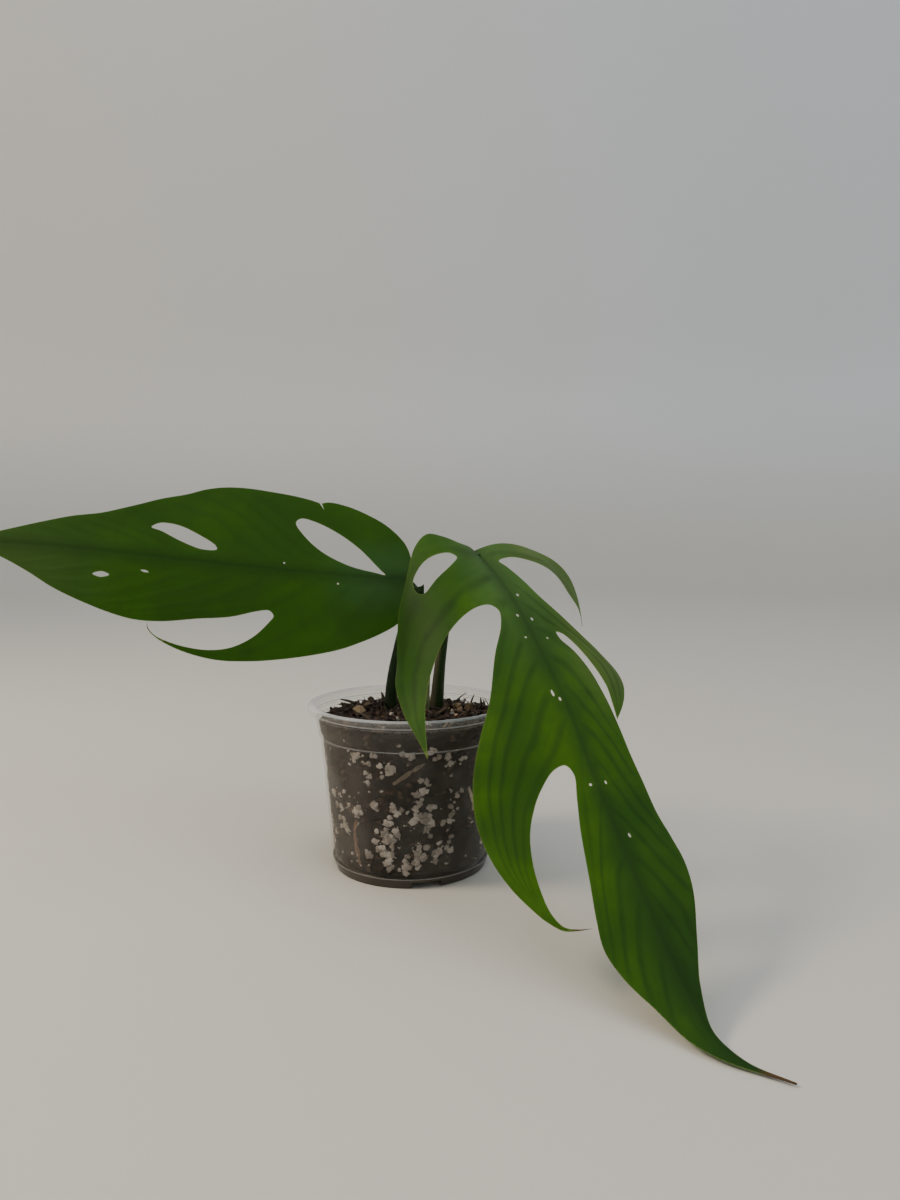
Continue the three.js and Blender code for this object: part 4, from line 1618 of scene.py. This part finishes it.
    def scattered_grains(self) -> list[Lump]:
        """Small grains all round the wall, and a few on top.

        Returns:
            Their places, sizes and proportions.
        """
        spots = []
        for _ in range(self.wall_grains):
            size = self.draw.uniform(*self.wall_grain_sizes)
            height = self.draw.uniform(self.pot.floor + 4, self.top - 6)
            angle = self.draw.uniform(0, math.tau)
            spots.append((self.at_wall(angle, height, size), size, self.small_grain_shape))
        for _ in range(self.top_grains):
            size = self.draw.uniform(*self.top_grain_sizes)
            spot = self.on_top(self.grain_reach) + Vector((0, 0, 0.3))
            spots.append((spot, size, self.small_grain_shape))
        return spots

    def perlite(self) -> None:
        """The white grains, each with one or two smaller ones grown on."""
        clumps = []
        for spot, size, stretch in self.clustered_grains() + self.scattered_grains():
            clumps.append((spot, size, stretch))
            for _ in range(self.draw.randint(1, 2)):
                shift = Vector(self.draw.gauss(0, 0.34 * size) for _ in range(3))
                inwards = shift.xy.dot(spot.xy) / spot.xy.length_squared
                shift -= spot.xyz * inwards * Vector((1, 1, 0))
                clumps.append((spot + shift, size * self.draw.uniform(0.35, 0.7), stretch))
        finish = CrumbFinish("perlite", "7d746b", "b8afa5", "635a50", 0.5, 0.25)
        self.lumps("mix_perlite", clumps, 2, 0.75, finish, self.grain_gap)

    def crumbs(self) -> None:
        """Dark crumbs at the wall and on top."""
        spots = []
        for _ in range(self.wall_crumbs):
            size = self.draw.uniform(*self.wall_crumb_sizes)
            height = self.draw.uniform(self.pot.floor + 3, self.top - 2)
            angle = self.draw.uniform(-math.pi, math.pi)
            if not self.over_root(angle, height, size):
                spots.append((self.at_wall(angle, height, size * 0.8), size, (1.2, 0.8, 0.6)))
        for _ in range(self.top_crumbs):
            size = self.draw.uniform(*self.top_crumb_sizes)
            spots.append((self.on_top(self.crumb_reach), size, (1.4, 0.7, 0.5)))
        # The crumbs' near-black is partly the damp peat's own colour and partly painted shade,
        # darkened to stand in for the shade behind the pot's rim.
        finish = CrumbFinish("dark_crumbs", "0b0807", "43342a", "5e4a38", 0.9, 0.3)
        self.lumps("mix_crumbs", spots, 1, 0.8, finish, self.crumb_gap)

    def bark_chips(self) -> None:
        """Lighter chips on top, the placed ones first."""
        spots = []
        for x, y, size in self.chips:
            height = self.surface(math.hypot(x, y), math.atan2(y, x)) + 1.5
            spots.append((Vector((x, y, height)), size, (0.8, 0.7, 0.8)))
        for _ in range(self.top_chips):
            size = self.draw.uniform(*self.top_chip_sizes)
            spots.append((self.on_top(self.chip_reach) + Vector((0, 0, 0.8)), size, (1.1, 0.7, 0.42)))
        finish = CrumbFinish("bark_chips", "46352a", "b09673", "2c2018", 0.8, 0.3)
        self.lumps("mix_bark_chips", spots, 1, 1.1, finish, self.crumb_gap, 28)

    def shreds(self) -> None:
        """Short dark fibres that lie on the top and stick out of it, every fourth one upright."""
        curve = bpy.data.curves.new("fibres", "CURVE")
        curve.dimensions = "3D"
        curve.bevel_depth = 1.0
        curve.bevel_resolution = 0
        curve.use_fill_caps = True
        for index in range(self.fibres):
            foot = self.on_top(self.crumb_reach)
            length = self.draw.uniform(*self.fibre_lengths)
            lean = self.draw.uniform(0, math.tau)
            rise = self.draw.uniform(*(self.lying_rises if index % 4 else self.upright_rises))
            bend = self.draw.uniform(-0.5, 0.5)
            width = self.draw.choice(self.fibre_widths)
            spline = curve.splines.new("POLY")
            spline.points.add(len(self.fibre_taper) - 1)
            for step, taper in enumerate(self.fibre_taper):
                share = step / (len(self.fibre_taper) - 1)
                turn = lean + bend * share
                flat = length * share * math.cos(rise)
                level = length * math.sin(rise) * share * (1 - 0.35 * share) - 0.6
                place = foot + Vector((flat * math.cos(turn), flat * math.sin(turn), level))
                spline.points[step].co = (*self.kept_inside(place, self.crumb_gap), 1)
                spline.points[step].radius = width * taper
        holder = bpy.data.objects.new("fibres", curve)
        shape = bmesh.new()
        shape.from_mesh(bpy.data.meshes.new_from_object(holder))
        bpy.data.objects.remove(holder)
        bpy.data.curves.remove(curve)
        bmesh.ops.remove_doubles(shape, verts=shape.verts, dist=WELD)
        bmesh.ops.recalc_face_normals(shape, faces=shape.faces)
        finish = DryFinish("fibre_shreds", "4a3524", "17100b", 0.5)
        finished("mix_fibres", shape, finish.material())

    @staticmethod
    def join(whole: bmesh.types.BMesh, part: bmesh.types.BMesh) -> None:
        """Adds one shape to another.

        Args:
            whole: The shape that grows.
            part: The other, which is freed.
        """
        mesh = bpy.data.meshes.new("part")
        part.to_mesh(mesh)
        part.free()
        whole.from_mesh(mesh)
        bpy.data.meshes.remove(mesh)

    def build_root(self, root: Root) -> None:
        """Builds a root that shows at the wall, in place of its solid.

        Args:
            root: The root.
        """
        route = []
        for angle, height in root.points:
            radius = self.pot.wall_radius(height) - self.pot.wall - (root.radii[1] + 0.3)
            turn = math.radians(angle)
            route.append((radius * math.cos(turn), radius * math.sin(turn), height))
        run = smooth_run(route, 0.8)
        wobble = np.array([noise.noise((place[2] / 2, place[0] / 2, 1.7)) for place in run])
        radii = spread_along(root.radii, len(run)) * (1 + self.root_wobble * wobble)
        finish = DryFinish(root.name + "_bark", root.light, root.dark, 0.5, (1, 1, 5))
        shape = swept(run, radii, 12)
        finished(root.name + "_skin", shape, finish.material(), root.name)

    def build(self) -> None:
        """Builds the whole fill."""
        self.body()
        self.perlite()
        self.crumbs()
        self.bark_chips()
        self.shreds()
        for root in self.roots:
            self.build_root(root)


@dataclass
class OldSheath:
    """The dry strip of an old leaf sheath beside the right stalk."""

    route: Sequence[Place] = (
        (9.4, 2.2, 76), (9.6, 1.8, 88), (9.9, 1.6, 100), (11, 2, 112), (13.2, 2.6, 122),
    )
    half_widths: Sequence[float] = (2.6, 2.6, 2.3, 1.7, 0.7)
    thickness: float = 0.9
    finish: DryFinish = DryFinish("dry_sheath", "8f9a68", "5c6038", 0.5, (1, 1, 20))

    def build(self) -> None:
        """Sweeps the strip, in place of its solid."""
        run = smooth_run(self.route, 1.2)
        width = spread_along(self.half_widths, len(run))
        shape = swept(run, width, 16, flatten=self.thickness / 2 / self.half_widths[1])
        finished("old_sheath_strip", shape, self.finish.material(), "old_sheath")


@dataclass(frozen=True)
class SoftLight:
    """A round area light, with its place, its aim and its width in millimetres."""

    name: str
    seat: Place
    aim: Place
    width: float
    watts: float
    shade: str

    def build(self) -> None:
        """Adds the light."""
        data = bpy.data.lights.new(self.name, "AREA")
        data.shape = "DISK"
        data.size = self.width * MM
        data.energy = self.watts
        data.color = colour(self.shade)[:3]
        lamp = bpy.data.objects.new(self.name, data)
        lamp.location = Vector(self.seat) * MM
        aim = Vector(self.aim) - Vector(self.seat)
        lamp.rotation_euler = aim.to_track_quat("-Z", "Y").to_euler()
        lamp.visible_camera = False
        bpy.context.scene.collection.objects.link(lamp)


@dataclass
class Studio:
    """The floor, the lights and the camera at the picture's angle."""

    focal_pixels: float = 850
    picture_height: float = 1200
    sensor: float = 36
    eye: Place = (0, -496, 191)
    yaw: float = 2.7
    pitch: float = 4.2
    sight: Point = (0.01, 50)
    floor_radius: float = 2600
    floor_sides: int = 96
    sweep: float = 1200
    sweep_steps: int = 8
    backdrop_height: float = 5200
    sky: str = "dfe4ea"
    sky_strength: float = 1.3
    lights: Sequence[SoftLight] = (
        SoftLight("key", (-1050, -150, 1050), (0, -60, 100), 420, 14, "ffecd0"),
        SoftLight("fill", (900, -1100, 1100), (20, -60, 90), 1300, 7, "eef3ff"),
    )

    def camera(self) -> None:
        """Makes the camera."""
        data = bpy.data.cameras.new("picture")
        data.sensor_width = self.sensor
        data.lens = self.focal_pixels / self.picture_height * self.sensor
        data.clip_start, data.clip_end = self.sight
        seat = bpy.data.objects.new("picture", data)
        seat.location = Vector(self.eye) * MM
        seat.rotation_euler = (math.radians(90 - self.pitch), 0, math.radians(-self.yaw))
        bpy.context.scene.collection.objects.link(seat)
        bpy.context.scene.camera = seat

    def floor(self) -> None:
        """Spins a floor that sweeps up far from the plant."""
        section = [(0, 0), (self.floor_radius, 0)]
        for step in range(1, self.sweep_steps + 1):
            turn = math.pi / 2 * step / self.sweep_steps
            outwards, upwards = math.sin(turn), 1 - math.cos(turn)
            section.append((self.floor_radius + self.sweep * outwards, self.sweep * upwards))
        section.append((self.floor_radius + self.sweep, self.backdrop_height))
        shape = lathe(section, self.floor_sides)
        bmesh.ops.transform(shape, matrix=Matrix.Scale(MM, 4), verts=shape.verts)
        mesh = bpy.data.meshes.new("studio_floor")
        shape.to_mesh(mesh)
        shape.free()
        mesh.shade_smooth()
        mesh.materials.append(FloorFinish().material())
        floor = bpy.data.objects.new("studio_floor", mesh)
        bpy.context.scene.collection.objects.link(floor)

    def surroundings(self) -> None:
        """Fills the studio with soft even light."""
        world = bpy.data.worlds.new("soft_studio")
        world.use_nodes = True
        sky = world.node_tree.nodes["Background"]
        sky.inputs["Color"].default_value = colour(self.sky)
        sky.inputs["Strength"].default_value = self.sky_strength
        bpy.context.scene.world = world

    def build(self) -> None:
        """Builds the studio."""
        self.camera()
        self.floor()
        self.surroundings()
        for light in self.lights:
            light.build()


LEFT_DRAWING = BladeDrawing(
    length=251,
    spine=tuple(
        Station(along, at, -62, (3, 0.1), (3, 0.06))
        for along, at in (
            (0, (-1.8, 16, 166.1)),
            (28, (-29.5, 12, 168.2)),
            (64, (-65, 7, 171.4)),
            (120, (-120, -1.4, 177.4)),
            (175, (-174, -9.8, 184.1)),
            (221, (-219, -17.4, 188.5)),
            (251, (-248, -22.4, 189.2)),
        )
    ),
    near=(
        ((-2, 3), (-3, 15), (1, 24), (6.4, 29.6), (15.6, 35.6), (27, 41.4), (38, 46.2),
         (52, 50.2), (70, 54), (88, 56.6), (105, 57.2), (119, 55), (131, 51), (138.6, 47),
         (142.9, 42.8), (143.5, 38.6)),
        ((143.5, 38.6), (142.6, 42.4), (138.4, 46.4), (131, 49.2), (122, 51.2), (110, 51.9),
         (98, 49.4), (87, 42.6), (79, 33.4), (76.4, 29), (79, 26), (85, 26.8), (100, 31.6),
         (119, 34.8), (136, 38), (150, 38.6), (165, 35.8), (180, 31), (196, 24.4), (210, 16.5),
         (225, 8.8), (238, 3.2), (251, 0.5)),
    ),
    far=(
        ((-2, -3), (-3, -12), (-0.5, -22), (3.5, -28.5), (11.5, -36.5), (23, -43.4), (36, -48.7),
         (49, -50.5), (53.2, -49.2)),
        ((53.2, -49.2), (51.6, -44.8)),
        ((51.6, -44.8), (54.6, -49.3)),
        ((54.6, -49.3), (60, -51), (70, -53), (84, -54.4), (98, -54.85), (112, -53.6),
         (124, -50.1), (134, -45), (148, -39), (162, -31.8), (176, -25.4), (192, -20.6),
         (207, -14.8), (226, -7.5), (251, -0.5)),
    ),
    holes=(
        ((176.5, 14.5), (172, 12.5), (167.5, 14.2), (172, 16)),
        ((151.6, 9.4), (149, 9), (146.8, 10.2), (149.4, 10.4)),
        ((68, -33.3), (65.2, -36.8), (56, -35.3), (41, -28.1), (29, -18.8), (16, -5), (13, -1.8),
         (20, -3), (34, -6), (50, -13.5), (61, -23)),
        ((150, -19), (146, -22.5), (136, -22.5), (122, -17), (113, -11.5), (112, -9), (120, -8),
         (133, -12), (144, -17)),
    ),
    pinholes=((73, -4.5, 0.64, 0.62), (41, 6, 0.64, 0.62)),
    dry_tips=((143.4, 39.5, 5, 1), (251, 0, 2.5, 0)),
    near_veins=(
        ((0, 0), (2, 12), (8, 24), (20, 35)),
        ((8, 0), (16, 16), (30, 32), (52, 48)),
        ((22, 0), (36, 18), (55, 36), (84, 53), (108, 55.5), (128, 52), (146, 40)),
        ((40, 0), (55, 16), (70, 30), (82, 42), (98, 51.5), (122, 52), (146, 40)),
        ((48, 0), (62, 13), (78, 24), (100, 29.5), (125, 34), (150, 36.5)),
        ((75, 0), (93, 13), (115, 23), (142, 31), (165, 34)),
        ((105, 0), (124, 12), (148, 22), (175, 30), (190, 29)),
        ((138, 0), (157, 10), (180, 18), (206, 20)),
        ((170, 0), (188, 8), (210, 13), (224, 13)),
        ((200, 0), (216, 5), (234, 6)),
        ((228, 0), (240, 2), (251, 1)),
    ),
    far_veins=(
        ((0, 0), (0, -10), (2, -24)),
        ((8, 0), (17, -9), (29, -21), (41, -30), (56, -38), (72, -41), (88, -56)),
        ((14, 0), (22, -2.4), (34, -5.2), (50, -12.6), (61, -21.5), (72, -31), (92, -48),
         (104, -56)),
        ((30, 0), (50, -8), (66, -19), (84, -34), (104, -48), (118, -54)),
        ((58, 0), (78, -13), (98, -27), (118, -40), (137, -46)),
        ((90, 0), (111, -12.5), (122, -18.2), (137, -24), (150, -29), (166, -33)),
        ((99, 0), (113, -7.2), (133, -11), (146, -16.4), (162, -22), (180, -27)),
        ((130, 0), (150, -8), (172, -16), (194, -22)),
        ((165, 0), (184, -8), (208, -16)),
        ((200, 0), (214, -5), (230, -8)),
        ((228, 0), (240, -2), (251, -1)),
    ),
)

RIGHT_DRAWING = BladeDrawing(
    length=313,
    spine=(
        Station(0, (37.7, 3, 183.1), 0, (-27, 1.22), (-44, 2.1)),
        Station(20, (44.3, -14.5, 175.5), 0, (-24, 1.22), (-26, 1.6)),
        Station(52.6, (54.4, -40.9, 159.6), 0, (-17, 1.1), (0, 1)),
        Station(90, (65, -68.7, 136.5), 0, (0, 0.6), (12, 0.5)),
        Station(133, (76.2, -98, 107.9), 0, (6, 0.3), (18, 0.3)),
        Station(173, (85.5, -122.6, 77.2), 0, (8, 0.15), (20, 0.3)),
        Station(218, (96.5, -151.3, 44.8), 0, (8, 0.15), (20, 0.3)),
        Station(260, (107.2, -179.4, 16.2), 0, (8, 0.15), (18, 0.2)),
        Station(280, (113, -194.5, 5.2), 0, (6, 0.1), (12, 0.1)),
        Station(296, (121, -207.5, 1.8), 0, (0, 0), (4, 0)),
        Station(313, (134, -219.2, 1.2), 0, (0, 0), (0, 0)),
    ),
    near=(
        ((0, 2), (0, 12), (2, 26), (5.5, 40), (11, 53.5), (18.5, 64.5), (27.5, 73.5), (34, 78),
         (38.5, 82)),
        ((38.5, 82), (35.6, 77.8), (33.8, 70.8), (33.7, 61.7), (33, 50.3), (27.2, 38.2),
         (22.2, 25.8), (18, 14), (19.5, 7), (27, 8.4), (42, 11.6), (57, 15.7), (70, 23.5),
         (80, 32), (90, 43), (100, 50), (110, 49), (119, 44), (128.4, 36.5), (136.8, 28.3)),
        ((136.8, 28.3), (126, 30.4), (115, 32.3), (101, 29.8), (89, 24.8), (82, 19), (81, 15),
         (86, 15.6), (93, 20.8), (106, 25.3), (123, 27), (137, 27.2), (152, 27.6), (169, 28),
         (184, 28.4), (198, 31), (209, 32), (225, 27.8), (244, 17.6), (261, 7.4), (270, 3.7),
         (280, 0.9), (290, 0.5), (313, 0.5)),
    ),
    far=(
        ((0, -2), (2, -7), (2.8, -12.5), (-2.5, -22), (-7.6, -31), (-2.6, -40), (6.4, -47),
         (17, -55), (30, -67), (45, -75), (62, -79), (80, -78.5), (100, -77), (118, -74),
         (132, -72)),
        ((132, -72), (112.8, -68.6), (98, -64.4), (83, -57), (68, -45.4), (59, -31.8),
         (55.7, -20.4), (56.6, -14.2), (62, -11), (72, -13.5), (89, -23), (113, -34),
         (133, -45.6), (154, -54.8), (170, -58.2), (186, -57), (201, -52.4), (211.6, -47.2),
         (220.2, -42), (225.6, -37), (227.6, -31), (228.6, -25)),
        ((228.6, -25), (227, -31), (224.2, -36.2), (217.4, -39.3), (208, -40.3), (195, -39.6),
         (182, -36.3), (171, -30), (163.8, -23.6), (158.6, -17), (157.8, -11.2), (163, -8.8),
         (174, -11.4), (188, -15), (209, -19.2), (226, -22.8), (238, -24.3), (249, -21.8),
         (260, -17.2), (270, -13), (280, -9.4), (290, -6), (300, -2.4), (313, -0.5)),
    ),
    holes=(
        ((15.5, -44.6), (12.4, -38), (11.8, -30), (13.4, -22.4), (17.4, -19.6), (23, -25),
         (28, -35), (32, -45), (27, -49), (20, -48.8)),
    ),
    pinholes=(
        (195.5, 6, 1.1, 0.75), (120.5, -4.2, 2.1, 0.64), (124.7, -2, 1.2, 0.62),
        (169.5, -3.2, 0.7, 0.62), (169.5, 5, 0.95, 0.64), (53, 3.6, 1.3, 0.62),
        (68, -2.6, 1.1, 0.62), (72, 4, 1.2, 0.62), (83.5, -4.2, 0.64, 0.62), (85.5, 7.5, 0.64, 0.62),
    ),
    dry_tips=((228, -26, 7, -1), (313, 0, 11, 0), (38.5, 82, 3, 0), (132, -72, 1.5, 0)),
    twist=-0.36,
    near_veins=(
        ((0, 0), (2, 14), (6, 30), (14, 50), (26, 67), (41, 82)),
        ((7, 0), (10, 14), (15, 30), (22, 46), (31, 62), (41, 82)),
        ((13, 0), (15, 8), (18, 24), (25, 42), (35, 60), (41, 82)),
        ((19, 0), (27, 6), (42, 9), (57, 13), (70, 21), (81, 32), (92, 43), (103, 49), (120, 42),
         (137, 28)),
        ((45, 0), (60, 8), (75, 17), (90, 31), (102, 40), (118, 38), (137, 28)),
        ((66, 0), (76, 9), (81, 18), (90, 27), (104, 32), (118, 33), (137, 28)),
        ((74, 0), (84, 10), (95, 18), (107, 22.5), (124, 24), (142, 25)),
        ((95, 0), (115, 12), (135, 19), (160, 27)),
        ((125, 0), (147, 12), (170, 21), (190, 29)),
        ((158, 0), (180, 12), (202, 23), (216, 32)),
        ((192, 0), (213, 11), (232, 19), (242, 18)),
        ((226, 0), (243, 7), (260, 9)),
        ((262, 0), (278, 2), (292, 1.5)),
    ),
    far_veins=(
        ((0, 0), (-1, -12), (-3, -26), (0, -42)),
        ((8, 0), (10, -14), (14, -30), (22, -45), (34, -60), (60, -74), (100, -75), (132, -72)),
        ((24, 0), (32, -14), (42, -34), (54, -54), (74, -68), (102, -73), (132, -72)),
        ((44, 0), (52, -12), (54.5, -22), (58, -33), (67, -47), (82, -59.5), (100, -67),
         (132, -72)),
        ((52, 0), (62, -9.5), (74, -13), (89, -21.5), (113, -32.5), (133, -43.5), (154, -52),
         (186, -55), (211, -45), (229, -30)),
        ((95, 0), (120, -20), (150, -38), (180, -48), (205, -46), (229, -30)),
        ((138, 0), (154, -12), (161, -24), (171, -33.5), (195, -42.5), (216, -41.5), (229, -30)),
        ((150, 0), (164, -6.5), (188, -12.5), (209, -17.5), (240, -25)),
        ((180, 0), (205, -11), (225, -17), (251, -23)),
        ((215, 0), (240, -11), (264, -16)),
        ((250, 0), (268, -6), (284, -5)),
        ((290, 0), (303, -0.8), (313, -0.4)),
    ),
)

LEFT_STALK = (
    (-3, 10, 50), (-9, 9.2, 70), (-11.4, 9.5, 86), (-11, 10, 104), (-7.6, 11, 122),
    (-2.2, 12.5, 141), (2.9, 14.3, 151), (3.6, 16.4, 157.5), (-1, 18.4, 163.6), (-10, 16.6, 166.6),
)
LEFT_STALK_RADII = (3.6, 4.6, 4.7, 3.9, 3.3, 3.1, 3.2, 3.1, 2.6, 1.8)
RIGHT_STALK = (
    (7.5, 9.5, 54.5), (13.6, 9, 72), (15.6, 9, 88), (16.8, 9, 104), (18.6, 8.6, 122),
    (21.6, 8, 142), (26.2, 7.5, 159), (31.5, 7, 173), (36, 4.5, 180.6), (40, -3.5, 179.6),
)
RIGHT_STALK_RADII = (3.6, 4.5, 4.4, 3.8, 3.3, 3, 2.8, 2.9, 2.7, 1.9)
LEFT_EAR = (
    (0.4, 146), (7.2, 147.5), (8.6, 154), (8.4, 163.1),
    (6.8, 161.9), (4.6, 161.4), (2, 161.8), (0, 157),
)

FRONT_CLUSTERS = tuple(
    Cluster(*values)
    for values in (
        (-127, 72, 2, 5, 5), (-113, 73, 2, 4, 4), (-104, 67, 1, 3, 6), (-117, 65, 3, 5, 2.5),
        (-92, 76, 2, 4, 3.5), (-77, 75, 2, 5, 3.5), (-68, 70, 3, 6, 3), (-80, 58, 2, 4, 4),
        (-84, 51, 2, 4, 4.5), (-115, 46, 2, 5, 4), (-128, 43, 4, 7, 4), (-146, 42, 5, 8, 3.5),
        (-141, 28, 2, 4, 5), (-99, 44, 2, 5, 4), (-84, 41, 4, 14, 4), (-104, 33, 4, 9, 4.5),
        (-105, 24, 4, 10, 5), (-108, 15, 4, 11, 4.5), (-90, 13, 4, 12, 5), (-84, 21, 3, 6, 3),
        (-74, 19, 4, 11, 4), (-63, 25, 3, 4, 3.5), (-65, 38, 2, 3, 3.5), (-60, 47, 2, 2, 3),
    )
)
BACK_CLUSTERS = tuple(
    Cluster(*values)
    for values in (
        (150, 30, 7, 12), (110, 55, 7, 12), (60, 25, 7, 14), (20, 50, 7, 12),
        (-20, 30, 7, 14), (-38, 60, 7, 6), (175, 62, 7, 8), (-168, 20, 6, 7),
    )
)
CHIPS = ((-30, 0, 9), (-25, 30, 6), (28, 10, 6), (35, 5, 8), (-10, 15, 5))

ROOTS = (
    Root("root_left", ((-130, 36), (-132, 27), (-131, 18), (-129, 10)), (1.6, 2, 2.1, 1.7),
         light="7a5a42", dark="46301f"),
    Root("root_middle", ((-101, 59), (-95, 63), (-88, 67), (-80, 71)), (1.1, 1.5, 1.5, 1),
         light="74674f", dark="483d31"),
    Root("root_right", ((-49, 54), (-46, 49), (-43.5, 44), (-42, 39)), (0.9, 1.1, 1.1, 0.8),
         light="b8aa92", dark="7f705a"),
)

LEFT_FINISH = LeafFinish(
    name="left_leaf_skin", vein="122c05", body="244405", glow="294c05", painted_sheen="31512a",
    below="3f5f22", painted_shade="38511f", roughness=0.46, specular=0.08, vein_share=0.22,
    lobe_painted_shade=0.0, near_lobe_sheen_share=0.0, painted_sheen_until=60, tip_from=150,
)
RIGHT_FINISH = LeafFinish(
    name="right_leaf_skin", vein="122b08", body="264806", glow="365a08", painted_sheen="42602f",
    below="52742c", painted_shade="1b390a", roughness=0.44, specular=0.1, vein_share=0.62,
    lobe_painted_shade=0.75, near_lobe_sheen_share=0.5, painted_sheen_until=125, tip_from=200,
)
LEFT_STALK_FINISH = StalkFinish("left_stalk_skin", "152e08", "0f1f07")
RIGHT_STALK_FINISH = StalkFinish("right_stalk_skin", "1c3d0c", "132809", flank=0.7)
STEM_FINISH = DryFinish("buried_stem_skin", "6d6a3a", "3c3a1e", 0.8)


def main() -> None:
    """Builds the studio, the pot and the plant, in that order."""
    logging.basicConfig(level=logging.INFO, format="%(name)s %(message)s")
    Studio().build()
    pot = NurseryPot()
    pot.build()
    clusters = FRONT_CLUSTERS + BACK_CLUSTERS
    PottingMix(pot, clusters=clusters, chips=CHIPS, roots=ROOTS).build()
    SplitLeaf("leaf_left", LEFT_DRAWING, LEFT_FINISH, LEFT_STALK_FINISH, Slot.LEFT_LEAF,
              LEFT_STALK, LEFT_STALK_RADII, ear=LEFT_EAR).build()
    SplitLeaf("leaf_right", RIGHT_DRAWING, RIGHT_FINISH, RIGHT_STALK_FINISH, Slot.RIGHT_LEAF,
              RIGHT_STALK, RIGHT_STALK_RADII).build()
    OldSheath().build()
    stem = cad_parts["stem"]
    stem.data.materials.clear()
    stem.data.materials.append(STEM_FINISH.material())


if __name__ == "__main__":
    main()
